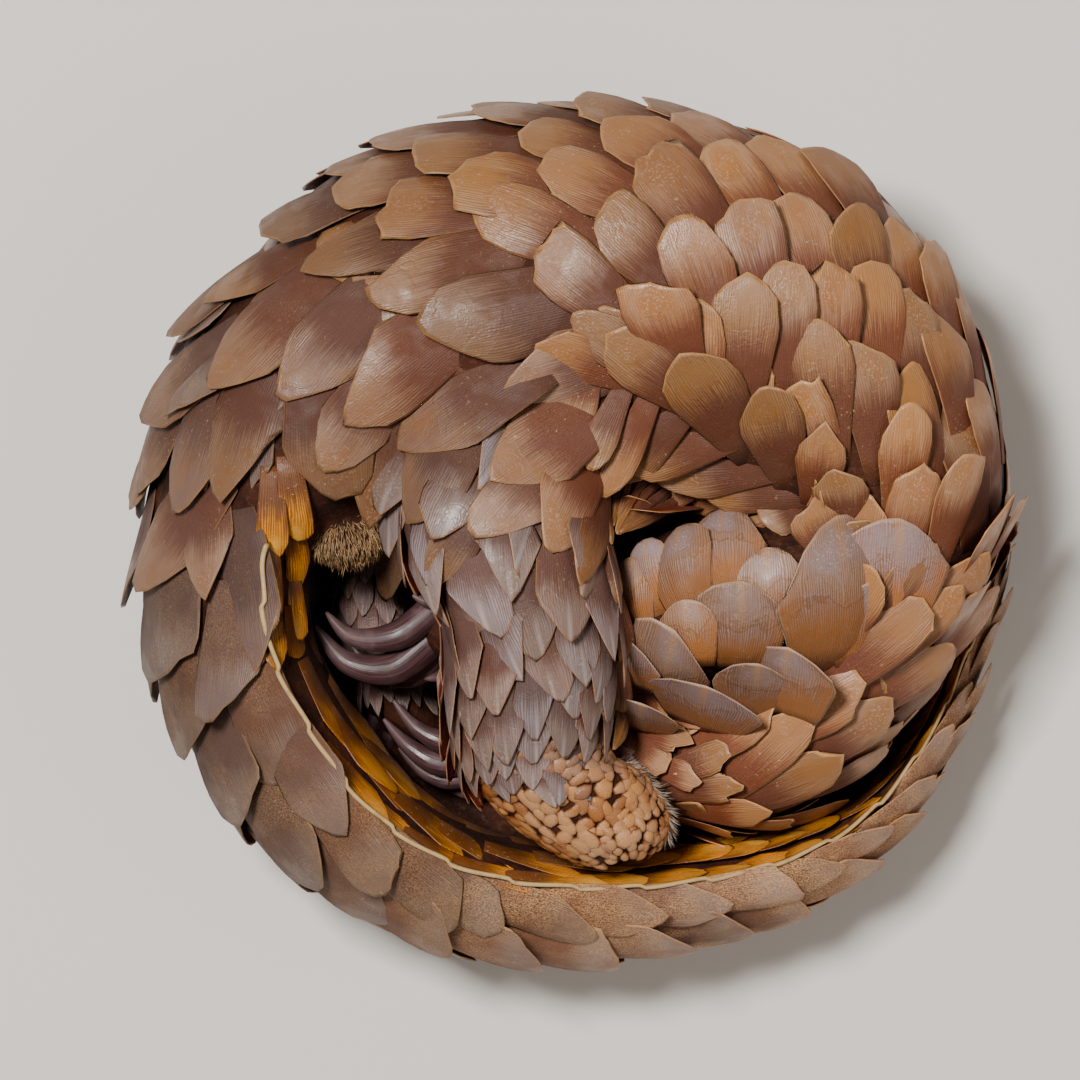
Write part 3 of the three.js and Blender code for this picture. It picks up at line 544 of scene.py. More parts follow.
def scaleMesh(name, spots, material, box):
    # across u and along v: half width rises from the root by a power and draws in a little at the tip; the
    # front edge falls back by a power of u less the skew, with random notches; height is a rise less the
    # body's own curve, plus an arch along v, a crown over u, a keel and a roll to one side
    top, rows = scaleGrid["top"], scaleGrid["rows"]
    v = 1 - (1 - np.linspace(0, 1, rows)) ** 1.6
    u = np.linspace(-1, 1, top)
    u[1:-1] = np.linspace(-scaleGrid["rim"], scaleGrid["rim"], top - 2)
    lowerOf = np.arange(top - 3, 1, -2)
    ringU = np.concatenate([u, u[lowerOf]])
    over = np.concatenate([np.ones(top), np.zeros(len(lowerOf))])
    over[[0, top - 1]] = 0.5
    n = len(spots["length"])
    draw = seeded(spots["seed"])
    uu, vv = ringU[None, None, :], v[None, :, None]
    value = lambda key: np.asarray(spots[key])[:, None, None]
    way = lambda key: spots[key][:, None, None, :]
    length, half, skew = value("length"), value("half"), value("skew")
    rise = np.clip(vv / scaleGrid["widest"], 0, 1)
    rootWidth = value("rootWidth")
    wide = (rootWidth + (1 - rootWidth) * rise ** value("flare")) * (
        1 - (1 - scaleGrid["tipWidth"]) * smooth(vv, 0.75, 1.0))
    y = uu * wide * half
    back = value("tipDepth") * (np.abs(uu - skew) / (1 + np.abs(skew))) ** value("tipPower")
    notch = np.abs(draw.normal(0, 1, (n, top))) * 0.7 + draw.normal(0, 0.3, (n, top))
    notch = np.concatenate([notch, notch[:, lowerOf]], 1)[:, None, :]
    x = length * vv * (1 - back * vv) - value("ragged") * notch * smooth(vv, 0.72, 1.0)
    y = y + value("sway") * half * vv ** 2
    crown = value("crown") * half * (1 - uu ** 2) * wide
    keel = value("keel") * np.exp(-(uu / 0.3) ** 2) * np.sin(np.clip(vv, 0, 1) * math.pi) ** 0.5
    z = value("sink") + value("rise") * smooth(vv, -0.15, 1.1)
    z = z - 0.5 * value("curveAlong") * x ** 2 - 0.5 * value("curveAcross") * y ** 2
    z = z + 0.5 * value("arch") * x * (length - x)
    taper = (1 - np.abs(uu) ** 3) * (1 - 0.8 * smooth(vv, 0.5, 1.0))
    thick = (scaleGrid["thin"] + (scaleGrid["thick"] - scaleGrid["thin"]) * taper) * value("thick")
    z = z + crown + keel - (1 - over)[None, None, :] * thick + value("roll") * y * (0.3 + 0.7 * vv)
    points = (way("origin") + x[..., None] * way("along") + y[..., None] * way("across")
              + z[..., None] * way("outward"))
    tris = scaleFaces()
    ring = len(ringU)
    perScale = rows * ring
    faces = tris[None] + (np.arange(n) * perScale)[:, None, None]
    shape = (n, rows, ring)
    cross, run = (np.broadcast_to(part, shape) for part in (uu * 0.5 + 0.5, vv))
    bake = onBake(box, spots["rootUv"])[:, None, None, :] + (np.stack([cross, run], -1) - 0.5) * bakePatch
    values = {key: np.repeat(spots[key], perScale) for key in ("tone", "dust", "shade")}
    values["seed"] = np.repeat(draw.random(n), perScale)
    values["cross"], values["run"] = cross, run
    values["under"] = np.broadcast_to(1 - over[None, None, :], shape)
    uv = np.stack([np.broadcast_to(uu * half, shape), x], -1) * 0.1
    return addMesh(name, points, faces.reshape(-1, 3), material, uv, bake, values)


curveRange = (-0.003, 0.03)  # least and greatest bend of a scale that follows its form, in 1 / mm


def placeScales(table, place, angle, length, half, heading=0.0, seed=1, **shape):
    # spots for scales rooted on a long form; heading turns the tip from the far end towards rising angle
    draw = seeded(seed)
    n = len(place)
    origin, dPlace, dAngle, normal = formFrame(table, place, angle)
    alongUnit, roundUnit = unit(dPlace), unit(dAngle)
    given = lambda key, usual: full(shape.get(key, usual), n)
    vary = lambda spread: draw.normal(0, spread, n)
    heading = full(heading, n) + vary(0.045)
    along = unit(alongUnit * np.cos(heading)[:, None] + roundUnit * np.sin(heading)[:, None])
    along = unit(along - normal * np.sum(along * normal, -1, keepdims=True))
    across = np.cross(normal, along)
    reach = shape.get("reach", 14.0)

    def curveOf(way):
        # how the surface bends away along a way: second difference of its points against the normal
        stepPlace, stepAngle = (
            reach * np.sum(way * ahead, -1) / np.maximum(np.linalg.norm(whole, axis=-1), 6)
            for ahead, whole in ((alongUnit, dPlace), (roundUnit, dAngle)))
        ahead = formPoint(table, place + stepPlace, angle + stepAngle)
        behind = formPoint(table, place - stepPlace, angle - stepAngle)
        gone = np.linalg.norm(ahead - behind, axis=-1) / 2
        return -np.sum((ahead + behind - 2 * origin) * normal, -1) / np.maximum(gone, 3) ** 2

    share = shape.get("curveShare", (0.8, 0.9))
    spots = {
        "origin": origin + normal * given("lift", 0.0)[:, None], "along": along, "across": across,
        "outward": normal, "length": full(length, n) * (1 + vary(0.05)),
        "half": full(half, n) * (1 + vary(0.045)), "rise": given("rise", 5.0) * (1 + vary(0.16)),
        "curveAlong": np.clip(curveOf(along), *curveRange) * share[0],
        "curveAcross": np.clip(curveOf(across), *curveRange) * share[1],
        "skew": given("skew", 0.0) + vary(0.16), "sway": vary(0.06), "roll": given("roll", 0.0) + vary(0.03),
        "rootUv": np.stack([place / (len(table) - 1), (angle / (2 * math.pi)) % 1.0], -1),
        "tone": np.zeros(n), "dust": np.zeros(n), "seed": seed + 500, "arch": np.zeros(n),
        "flare": given("flare", 1.1), "shade": given("shade", 0.85),
    }
    for key, usual in (("sink", -1.4), ("crown", 0.07), ("keel", 0.0), ("thick", 1.0), ("ragged", 0.7),
                       ("tipDepth", 0.3), ("tipPower", 1.8), ("rootWidth", scaleGrid["rootWidth"])):
        spots[key] = given(key, usual)
    spots["tipDepth"] *= 1 + vary(0.14)
    spots["ragged"] *= draw.uniform(0.4, 1.5, n)
    return spots


def keep(spots, mask):
    n = len(mask)
    return {key: (value[mask] if isinstance(value, np.ndarray) and len(value) == n else value)
            for key, value in spots.items()}


def picked(spot, mask):
    return {key: value[mask] for key, value in spot.items()}


def formLattice(table, rows):
    # rows follow each other by the wanted spacing along the reference angle, every second column half a
    # row ahead; a column keeps its number of steps from the middle angle, which drifts along the form
    fine = np.linspace(rows["from"], rows["to"], 1200)
    step = np.linalg.norm(formFrame(table, fine, full(rows["reference"] * rad, len(fine)))[1], axis=-1)
    density = step / np.interp(fine, *rows["spacing"])
    count = np.concatenate([[0], np.cumsum((density[1:] + density[:-1]) / 2 * np.diff(fine))])
    middle = rows["middle"] if callable(rows["middle"]) else lambda place: rows["middle"] + 0 * place
    turn = lambda place: np.interp(place, *rows["turn"])
    k, j = (grid.ravel() for grid in np.meshgrid(
        np.arange(0, int(count[-1]) + 1), np.arange(-rows["below"], rows["above"] + 1), indexing="ij"))
    whole = k + np.where(j % 2 == 0, 0.0, 0.5)
    inside = whole < count[-1]
    k, j, whole = k[inside], j[inside], whole[inside]
    place = np.interp(whole, count, fine)
    angleOf = lambda at: (middle(at) + j * turn(at)) * rad
    angle = angleOf(place)
    local = formFrame(table, place, angle)
    dPlace, dAngle = (np.linalg.norm(part, axis=-1) for part in local[1:3])
    drift = (angleOf(place + 0.05) - angleOf(place - 0.05)) / 0.1
    heading = np.arctan2(drift * dAngle, dPlace)
    gap = np.interp(place, *rows["spacing"])
    ownGap = gap * dPlace / np.interp(place, fine, step)
    pitch = turn(place) * rad * dAngle
    crowded = (ownGap < rows["least"]) & (k % 2 == 1)
    crowded |= (ownGap < rows["least"] / 2) & (k % 4 != 0)
    return {"place": place, "angle": angle, "heading": heading, "gap": gap, "ownGap": ownGap, "pitch": pitch,
            "degrees": angle / rad, "kept": ~crowded, "column": j}


# Height of the top of the long forms over a plan of 1 mm squares, evened out over its neighbours
planSet = {"half": 200, "blur": 3, "slope": 3.0, "reach": 7.0, "round": 400}


def planHeights(tables):
    size = 2 * planSet["half"] + 1
    heights = np.full((size, size), -1.0)
    for table, places in tables:
        grid = formPoint(table, np.linspace(0, len(table) - 1, places)[:, None],
                         np.linspace(0, math.pi, planSet["round"])[None])
        cell = np.clip(np.rint(grid[..., 0:2]).astype(int) + planSet["half"], 0, size - 1).reshape(-1, 2)
        np.maximum.at(heights, (cell[:, 0], cell[:, 1]), grid[..., 2].ravel())
    for _ in range(planSet["blur"]):
        around = np.stack([np.roll(heights, way, (0, 1))
                           for way in ((0, 0), (1, 0), (-1, 0), (0, 1), (0, -1))])
        weight = (around >= 0) * 1.0
        heights = np.where(weight.sum(0) > 0, (around * weight).sum(0) / np.maximum(weight.sum(0), 1), -1.0)
    return heights


plans = {"all": planHeights(((bodyTable, 1600), (hindRightTable, 700), (foreRightTable, 700))),
         "noLeg": planHeights(((bodyTable, 1600), (foreRightTable, 700)))}


def topPoint(xy, over="all"):
    # point on top of the forms over a place seen from above
    plan = plans[over]
    cell = np.clip(np.rint(xy).astype(int) + planSet["half"], 0, plan.shape[0] - 1)
    return np.concatenate([xy, np.maximum(plan[cell[..., 0], cell[..., 1]], 0)[..., None]], -1)


def topNormal(xy, over="all"):
    # upward normal from the height's slopes over a few mm
    slope = [np.clip((topPoint(xy + way, over)[..., 2] - topPoint(xy - way, over)[..., 2])
                     / (2 * planSet["reach"]), -planSet["slope"], planSet["slope"])
             for way in np.eye(2) * planSet["reach"]]
    return unit(np.stack([-slope[0], -slope[1], np.ones_like(slope[0])], -1))


# The photograph's pixels on the plan, in mm
photoPixel = {"middle": (573.0, 540.0), "size": 0.4}


def onPlan(pixels):
    return (pixels - np.array(photoPixel["middle"])) * np.array([1.0, -1.0]) * photoPixel["size"]


def insidePlan(xy, corners):
    # even and odd rule: edges of the outline that pass to the right of each point
    corners = onPlan(np.array(corners, float))
    following = np.roll(corners, -1, 0)
    x, y = xy[:, None, 0], xy[:, None, 1]
    spans = (corners[None, :, 1] > y) != (following[None, :, 1] > y)
    rise = np.where(following[:, 1] == corners[:, 1], 1.0, following[:, 1] - corners[:, 1])
    cut = corners[:, 0] + (y - corners[None, :, 1]) / rise * (following[:, 0] - corners[:, 0])
    return (spans & (x < cut)).sum(1) % 2 == 1


# In mm: most that a tip drops below the middle of its scale, and how far that middle stands off the form
laidSet = {"drop": 22, "clear": 2.0}


def laidScales(marks, seed, hidden=0.3, rise=5.0, sink=-2.0, step=0.0, **shape):
    # each mark: tip, visible root and half width in the photograph's pixels. The scale goes on under its
    # neighbour by a share of its length, and arches over the form between both ends; each lies a step
    # higher than the one before.
    draw = seeded(seed)
    marks = np.array(list(marks.values()), float)
    n = len(marks)
    given = lambda key, usual: full(shape.get(key, usual), n)
    tip, back = onPlan(marks[:, 0:2]), onPlan(marks[:, 2:4])
    root = back + (back - tip) * hidden
    middle = (root + tip) / 2
    over = shape.get("over", "all")
    normal = topNormal(middle, over)
    normal = unit(normal + np.array([0, 0, 2.0]) * given("upright", 0.0)[:, None])
    low = topPoint(root, over) + normal * (sink - draw.uniform(0, 1.2, n))[:, None]
    high = topPoint(tip, over)
    high[:, 2] = np.maximum(high[:, 2], topPoint(middle, over)[:, 2] - laidSet["drop"])
    high = high + normal * (rise * draw.uniform(0.8, 1.25, n))[:, None]
    stacked = (np.arange(n) * step)[:, None]
    low, high = low + normal * stacked, high + normal * stacked
    length = np.linalg.norm(high - low, axis=-1)
    along = unit(high - low)
    outward = unit(normal - along * np.sum(normal * along, -1, keepdims=True))
    bulge = topPoint(middle, over) + outward * (laidSet["clear"] + stacked) - (low + high) / 2
    bulge = np.sum(bulge * outward, -1)
    across = np.cross(outward, along)
    wide = marks[:, 4] * photoPixel["size"] * shape.get("swell", 1.1)
    sides = [topPoint(middle + across[:, 0:2] * (wide * way)[:, None], over) for way in (1, -1)]
    fall = np.sum((topPoint(middle, over) - (sides[0] + sides[1]) / 2) * outward, -1)
    spots = {
        "origin": low, "along": along, "across": across, "outward": outward, "length": length, "half": wide,
        "rise": np.zeros(n), "sink": np.zeros(n), "curveAlong": np.zeros(n),
        "arch": 8 * np.clip(bulge, 0, 0.22 * length) / length ** 2,
        "curveAcross": np.clip(2 * fall / wide ** 2, -0.004, shape.get("mostCurve", 0.02)),
        "skew": given("skew", 0.0) + draw.normal(0, 0.16, n), "sway": draw.normal(0, 0.05, n),
        "roll": given("roll", 0.0) + draw.normal(0, 0.05, n), "rootUv": root / (2 * planSet["half"]) + 0.5,
        "tone": given("tone", 0.3) + draw.normal(0, 0.12, n), "dust": given("dust", 0.12),
        "seed": seed + 500, "flare": given("flare", 1.0), "shade": given("shade", 0.85),
    }
    for key, usual in (("crown", 0.04), ("keel", 0.0), ("thick", 0.9), ("ragged", 0.9),
                       ("tipDepth", 0.3), ("tipPower", 1.6), ("rootWidth", 0.62)):
        spots[key] = given(key, usual)
    spots["tipDepth"] *= draw.uniform(0.75, 1.3, n)
    spots["tipPower"] *= draw.uniform(0.85, 1.4, n)
    spots["ragged"] *= draw.uniform(0.5, 1.5, n)
    return spots


# Scales that the photograph shows one by one. Pivot of the coil:
pivotTongues = {
    "longLeft": (535, 345, 640, 388, 23), "longMiddle": (569, 318, 672, 392, 23),
    "longRight": (603, 335, 702, 415, 28), "hammer": (676, 352, 742, 452, 34),
    "blunt": (752, 384, 785, 485, 29), "small": (818, 420, 808, 505, 22),
    "smallRight": (828, 462, 842, 535, 25), "curl": (609, 478, 682, 412, 21),
    "wide": (617, 462, 724, 440, 27), "low": (650, 478, 765, 472, 23), "lower": (695, 484, 795, 498, 22),
    "lowest": (731, 508, 790, 500, 19), "last": (757, 522, 800, 508, 18),
    "toNeck": (840, 520, 862, 575, 26), "between": (800, 500, 826, 560, 24),
    "upright": (584, 474, 622, 392, 15), "uprightRight": (602, 500, 655, 385, 15),
    "behind": (570, 430, 590, 375, 17), "edge": (690, 505, 735, 498, 10), "corner": (660, 498, 700, 490, 9),
}
lowTongues = ("curl", "wide", "low", "lower", "lowest", "last", "edge", "corner", "upright", "uprightRight")
pivotStrips = {
    "first": (609, 528, 620, 480, 4.5), "second": (611, 528, 631, 481, 5), "third": (612, 529, 643, 482, 5.5),
    "fourth": (613, 530, 655, 486, 5.5), "fifth": (614, 531, 667, 492, 6), "sixth": (616, 532, 682, 500, 6.5),
    "seventh": (620, 530, 695, 506, 9), "eighth": (640, 522, 720, 512, 10), "ninth": (606, 545, 604, 500, 5),
    "tenth": (662, 514, 735, 510, 8), "rimOne": (610, 604, 604, 545, 9), "rimTwo": (615, 662, 613, 598, 9),
    "rimThree": (613, 712, 615, 655, 9), "rimFour": (606, 745, 612, 702, 9),
}
hipLeaves = {
    "edgeHigh": (179, 345, 262, 268, 30), "edgeLow": (141, 516, 160, 440, 24),
    "overRim": (195, 522, 232, 392, 35), "rimRight": (240, 507, 268, 388, 37),
    "ventLeft": (345, 498, 332, 395, 36), "ventRight": (373, 520, 398, 410, 31),
    "thigh": (417, 530, 462, 440, 37), "thighTop": (404, 456, 505, 385, 38),
    "rowLeft": (342, 418, 440, 345, 36), "rowMiddle": (292, 412, 372, 318, 35),
    "rowFar": (222, 402, 318, 300, 36), "outer": (152, 422, 232, 350, 34),
    "outerLow": (150, 498, 186, 400, 33), "great": (420, 341, 565, 312, 37),
    "greatLeft": (366, 303, 500, 268, 31), "above": (309, 290, 430, 245, 31),
    "farAbove": (216, 320, 302, 258, 27), "toPivot": (500, 388, 605, 366, 34),
    "legFirst": (484, 487, 572, 425, 36), "legSecond": (480, 550, 545, 478, 31),
    "legTan": (533, 550, 580, 465, 30), "legSide": (437, 586, 482, 512, 22),
    "rimFirst": (146, 592, 205, 500, 37), "tailRoot": (224, 600, 214, 505, 27),
    "legInner": (389, 590, 400, 505, 20), "legBack": (330, 470, 380, 400, 30),
    "legLight": (566, 590, 592, 500, 24),
}
ventSide = {
    "upper": (300, 540, 297, 478, 16), "upperLeft": (277, 560, 279, 490, 15),
    "middle": (298, 590, 298, 530, 13), "middleLeft": (274, 618, 276, 555, 15),
    "lower": (298, 640, 296, 580, 13), "lowerLeft": (279, 668, 276, 606, 15),
}
neckStrips = {
    "upperOne": (976, 543, 912, 625, 24), "upperTwo": (992, 580, 928, 660, 20),
    "upperThree": (941, 628, 865, 692, 25), "upperFour": (1001, 602, 948, 672, 13),
    "nextOne": (886, 688, 814, 742, 25), "nextTwo": (946, 650, 882, 722, 17),
    "nextThree": (806, 703, 738, 770, 23), "middleOne": (838, 741, 748, 786, 25),
    "middleTwo": (886, 730, 818, 778, 15), "middleThree": (962, 664, 902, 738, 12),
    "chinOne": (734, 745, 682, 766, 14), "chinTwo": (745, 775, 690, 786, 15),
    "chinThree": (709, 788, 662, 812, 20), "lowOne": (771, 797, 712, 806, 18),
    "lowTwo": (851, 786, 772, 812, 15), "lowThree": (906, 747, 850, 800, 11),
    "lastOne": (731, 836, 668, 828, 17), "lastTwo": (798, 820, 722, 836, 14),
    "lastThree": (866, 798, 792, 832, 9), "throat": (682, 760, 648, 795, 14),
    "throatTwo": (700, 706, 640, 716, 14), "throatThree": (705, 727, 645, 742, 14),
    "pitOne": (672, 722, 640, 704, 13), "pitTwo": (696, 748, 656, 734, 13),
    "pitThree": (674, 700, 640, 686, 15), "pitFour": (724, 720, 676, 702, 17),
    "pitFive": (672, 768, 644, 748, 13), "pitSix": (704, 776, 668, 768, 13),
    "fold": (778, 692, 706, 738, 27), "foldRight": (862, 676, 785, 722, 23),
    "backOne": (915, 590, 838, 662, 28), "backTwo": (950, 575, 880, 650, 20),
}
armFans = {
    "greatRight": (893, 511, 884, 612, 50), "between": (858, 572, 850, 650, 30),
    "great": (815, 513, 826, 640, 62), "behind": (762, 545, 766, 622, 34),
    "cornerLeft": (655, 545, 660, 600, 26), "left": (641, 558, 640, 618, 24),
    "top": (722, 516, 728, 596, 36), "crease": (681, 534, 690, 606, 31), "under": (690, 590, 694, 650, 26),
    "middle": (738, 569, 736, 652, 41), "farLow": (640, 622, 636, 672, 32),
    "leftLow": (681, 609, 674, 676, 38), "lowRight": (752, 640, 748, 700, 36),
    "right": (796, 631, 786, 700, 45), "low": (713, 655, 704, 712, 52), "bottom": (650, 678, 646, 716, 34),
}
clearSet = {  # where the lattice makes room for scales laid one by one
    "depth": 2.4,                    # mm that it lies deeper
    "facing": (0.25, 0.5),           # how far up a scale has to face to make room, from not at all to in full
    "facingOut": 0.2,                # and to be left out
    "floor": 12, "downward": -0.5,   # scales rooted lower than this that face down by this are left out
}
ventGap = ((262, 500), (330, 480), (345, 560), (320, 640), (262, 650))
pivotCore = ((570, 410), (600, 350), (690, 380), (760, 395), (830, 420), (885, 440), (885, 540), (600, 545))
clearings = {  # outlines of the places where the lattice makes room
    "pivot": ((525, 325), (600, 296), (690, 328), (790, 352), (880, 395), (890, 560), (600, 545), (585, 420)),
    "hip": ((105, 600), (120, 400), (200, 290), (300, 225), (440, 225), (560, 285), (600, 360), (600, 560),
            (450, 600), (360, 560), (250, 600)),
    "neck": ((630, 690), (700, 690), (830, 640), (900, 560), (985, 520), (1012, 590), (985, 690), (900, 800),
             (760, 850), (640, 850)),
}


def tipOf(spots, share=0.9):
    return spots["origin"] + spots["along"] * spots["length"][:, None] * share


def pressed(spots, *names):
    # scales that face up with their tips inside the outlines lie flat and deeper, under the laid ones
    inside = np.any([insidePlan(tipOf(spots)[:, 0:2], clearings[name]) for name in names], axis=0)
    share = inside * smooth(spots["outward"][:, 2], *clearSet["facing"])
    return {**spots, "origin": spots["origin"] - spots["outward"] * (clearSet["depth"] * share)[:, None],
            "rise": spots["rise"] * (1 - 0.7 * share)}


def leftOut(spots, corners):
    # scales that face up with their tips inside an outline are left out
    inside = insidePlan(tipOf(spots)[:, 0:2], corners)
    return keep(spots, ~(inside & (spots["outward"][:, 2] > clearSet["facingOut"])))


def noneLoose(spots):
    # scales rooted on the underside close to the floor are left out
    low = spots["origin"][:, 2] < clearSet["floor"]
    return keep(spots, ~(low & (spots["outward"][:, 2] < clearSet["downward"])))


def named(marks, names, yes, no):
    # one value for the named marks and another for the rest
    return np.where(np.isin(list(marks), names), yes, no)


def heldIn(spots):
    # scales that reach past the forms' own outline are shorter and flatter
    past = topPoint((tipOf(spots, 1) - spots["outward"] * 9.0)[:, 0:2])[:, 2] <= 0
    return {**spots, "length": spots["length"] * np.where(past, 0.78, 1.0),
            "rise": spots["rise"] * np.where(past, 0.35, 1.0)}


# Body: one lattice from the neck over the trunk to the tip of the tail
bodyRows = {
    "from": 0.1, "to": 28.75, "reference": 50,
    "spacing": ([0, 2, 4, 7, 10, 13, 16, 19, 22, 25, 28.75], [17, 26, 31, 32, 34, 35, 33, 31, 29, 25, 16]),
    "turn": ([0, 3, 5.5, 9.5, 13.5, 15.5, 17.5, 28.75], [25, 23, 18, 16.5, 24, 30, 35, 38]),
    "middle": lambda place: 62 + 58 * (1 - smooth(place, 5.0, 9.8)) + 10 * smooth(place, 14, 17),
    "below": 16, "above": 9, "least": 11,
}
bodyLimits = {  # lowest and highest angle that carries scales, by place
    "low": ([0, 15, 17, 28.75], [-150, -150, -80, -80]),
    "high": ([0, 4, 5, 9, 11, 14.5, 16.2, 17], [200, 190, 188, 186, 170, 160, 112, 86]),
}
spot = formLattice(bodyTable, bodyRows)
place, degrees = spot["place"], spot["degrees"]
allowed = (degrees > np.interp(place, *bodyLimits["low"])) & (degrees < np.interp(place, *bodyLimits["high"]))
height = formPoint(bodyTable, place, spot["angle"])[:, 2]
spot = picked(spot, allowed & spot["kept"] & (height > 5))
place, degrees = spot["place"], spot["degrees"]
onTail = smooth(place, 15.4, 17.0)
onLeft = smooth(place, 10.5, 13.5)
innerSide = smooth(degrees, 95, 135) * (1 - onTail)
outerSide = 1 - smooth(degrees, -5, 30)
hipTurn = 0.5 * smooth(place, 12.2, 14.2) * (1 - smooth(place, 15.2, 16.6)) * smooth(degrees, -10, 60)
length = spot["gap"] * (1.9 - 0.1 * onTail) * (1 - 0.16 * outerSide)
length = np.where(innerSide > 0, length + (np.minimum(length, 52) - length) * innerSide, length)
length = np.minimum(length, 64)
half = spot["pitch"] * (0.62 + 0.02 * onTail)
half = half + (np.clip(half, 5, 9.5) - half) * innerSide
draw = seeded(31)
count = len(place)
bodySpots = placeScales(
    bodyTable, place, spot["angle"], length, np.clip(half, 4, 24), spot["heading"] + hipTurn, seed=3,
    rise=(6.0 + 3 * innerSide - 0.6 * onTail - 2.6 * outerSide) * np.clip(length / 50, 0.5, 1.1), crown=0.045,
    tipPower=draw.uniform(1.3, 3.2, count) * (1 - onLeft) + 1.45 * onLeft,
    tipDepth=draw.uniform(0.14, 0.24, count) + 0.18 * onLeft - 0.04 * onTail, flare=1.2 - 0.6 * onLeft,
    ragged=np.clip(length / 55, 0.3, 1.0) * (1.9 - 0.9 * onTail),
    thick=np.clip(length / 50, 0.5, 1) * (1 - 0.4 * innerSide),
    skew=draw.normal(0, 0.4, count) * (1 - onLeft) - 0.4 * onLeft, reach=16.0, curveShare=(1.0, 0.95),
    rootWidth=0.55 + 0.15 * onTail, roll=0.06 * (1 - onLeft) * (1 - innerSide))
bodySpots["tone"] = 0.12 + 0.85 * onLeft * (1 - 0.3 * onTail) + draw.normal(0, 0.12, count)
bodySpots["dust"] = 0.12 + 0.12 * onLeft + np.interp(place, [15.5, 19, 23, 28], [0, 0.3, 0.75, 0.5])
trunkPart = place < 16.35
bodySpots["shade"] = np.interp(place, [0, 2, 5, 9, 11, 13, 17, 19.5, 22, 27],
                               [1.0, 1.1, 1.14, 0.95, 0.66, 0.62, 0.66, 0.8, 1.42, 1.42])
bodySpots = heldIn(bodySpots)
trunkSpots = leftOut(pressed(keep(bodySpots, trunkPart & (place >= 4)), "pivot", "hip", "neck"), pivotCore)
trunkSpots = noneLoose(leftOut(trunkSpots, ventGap))
scaleMesh("trunkScales", trunkSpots, trunkHorn, "trunk")
neckSpots = noneLoose(pressed(keep(bodySpots, place < 4), "neck"))
scaleMesh("neckScales", neckSpots, trunkHorn, "neck")
scaleMesh("tailScales", pressed(keep(bodySpots, ~trunkPart), "hip"), tailHorn, "tail")
print("stage: body scales", count)

hipTips = np.array(list(hipLeaves.values()), float)
hipTone = 0.1 + 0.4 * smooth(hipTips[:, 1], 300, 400) * (1 - 0.8 * smooth(hipTips[:, 0], 500, 560))
hipShade = 0.6 + 0.14 * smooth(hipTips[:, 1], 330, 430) + 0.2 * smooth(hipTips[:, 0], 440, 520)
laidPieces = {  # marks, seed, material, slot, bake box, and what differs from the usual shape
    "pivotScales": (pivotTongues, 81, trunkHorn, "body_scales", "trunk", {
        "shade": 0.9, "hidden": 0.12, "rise": 4.5, "tone": 0.0, "ragged": 1.3, "tipDepth": 0.26,
        "tipPower": 1.4, "rootWidth": 0.5, "swell": 1.15,
        "upright": named(pivotTongues, lowTongues, 0.9, 0.0)}),
    "pivotFolds": (pivotStrips, 82, trunkHorn, "body_scales", "trunk", {
        "shade": 0.75, "hidden": 0.05, "rise": 3.5, "sink": -0.5, "tone": 0.0, "thick": 1.3, "keel": 1.2,
        "ragged": 0.2, "rootWidth": 0.9, "upright": 0.85}),
    "hipScales": (hipLeaves, 83, trunkHorn, "body_scales", "trunk", {
        "hidden": 0.35, "rise": 6.0, "tone": hipTone, "dust": 0.2, "shade": hipShade, "tipPower": 1.4,
        "tipDepth": named(hipLeaves, ("edgeHigh", "edgeLow", "outer", "outerLow"), 0.26, 0.44),
        "rootWidth": 0.72, "ragged": 1.2, "swell": 1.24, "flare": 0.6}),
    "throatScales": (neckStrips, 84, trunkHorn, "body_scales", "neck", {
        "over": "noLeg", "shade": 1.2, "hidden": 0.6, "tone": 0.2, "ragged": 2.0, "tipDepth": 0.22,
        "roll": -0.12, "swell": 1.2}),
    "ventSideScales": (ventSide, 86, amberHorn, "tail_scales", "ventSide", {
        "rise": 3.0, "sink": -1.0, "tone": 0.5, "dust": 0.0, "shade": 1.3, "upright": 0.5, "rootWidth": 0.7,
        "ragged": 0.4}),
    # forearm: fans laid like tiles with their tips towards its upper edge
    "armFans": (armFans, 85, armHorn, "leg_scales", "armFans", {
        "hidden": 0.2, "rise": 6.0, "sink": -1.0, "tone": 0.85, "dust": 0.08, "keel": 1.4, "tipDepth": 0.36,
        "tipPower": 1.7, "ragged": 0.4, "rootWidth": 0.55, "crown": 0.08, "swell": 1.18, "flare": 0.75,
        "step": 0.3, "shade": 0.95, "mostCurve": 0.012}),
}
for name, (marks, seed, material, slot, box, shape) in laidPieces.items():
    scaleMesh(name, laidScales(marks, seed, **shape), material, box)
print("stage: scales laid one by one")

# Belly side of the tail: glossy amber scales on a swelling that faces into the coil
bellySwell = {"tall": 7.0, "middle": 152.0, "spread": 36.0}


def bellyLift(place, degrees):
    # bell curve round the middle angle, growing along the tail
    return (bellySwell["tall"] * np.exp(-((degrees - bellySwell["middle"]) / bellySwell["spread"]) ** 2)
            * np.interp(place, [15.5, 17, 20, 22, 27, 28.5], [0, 0.4, 0.5, 1.0, 1.0, 0.2]))


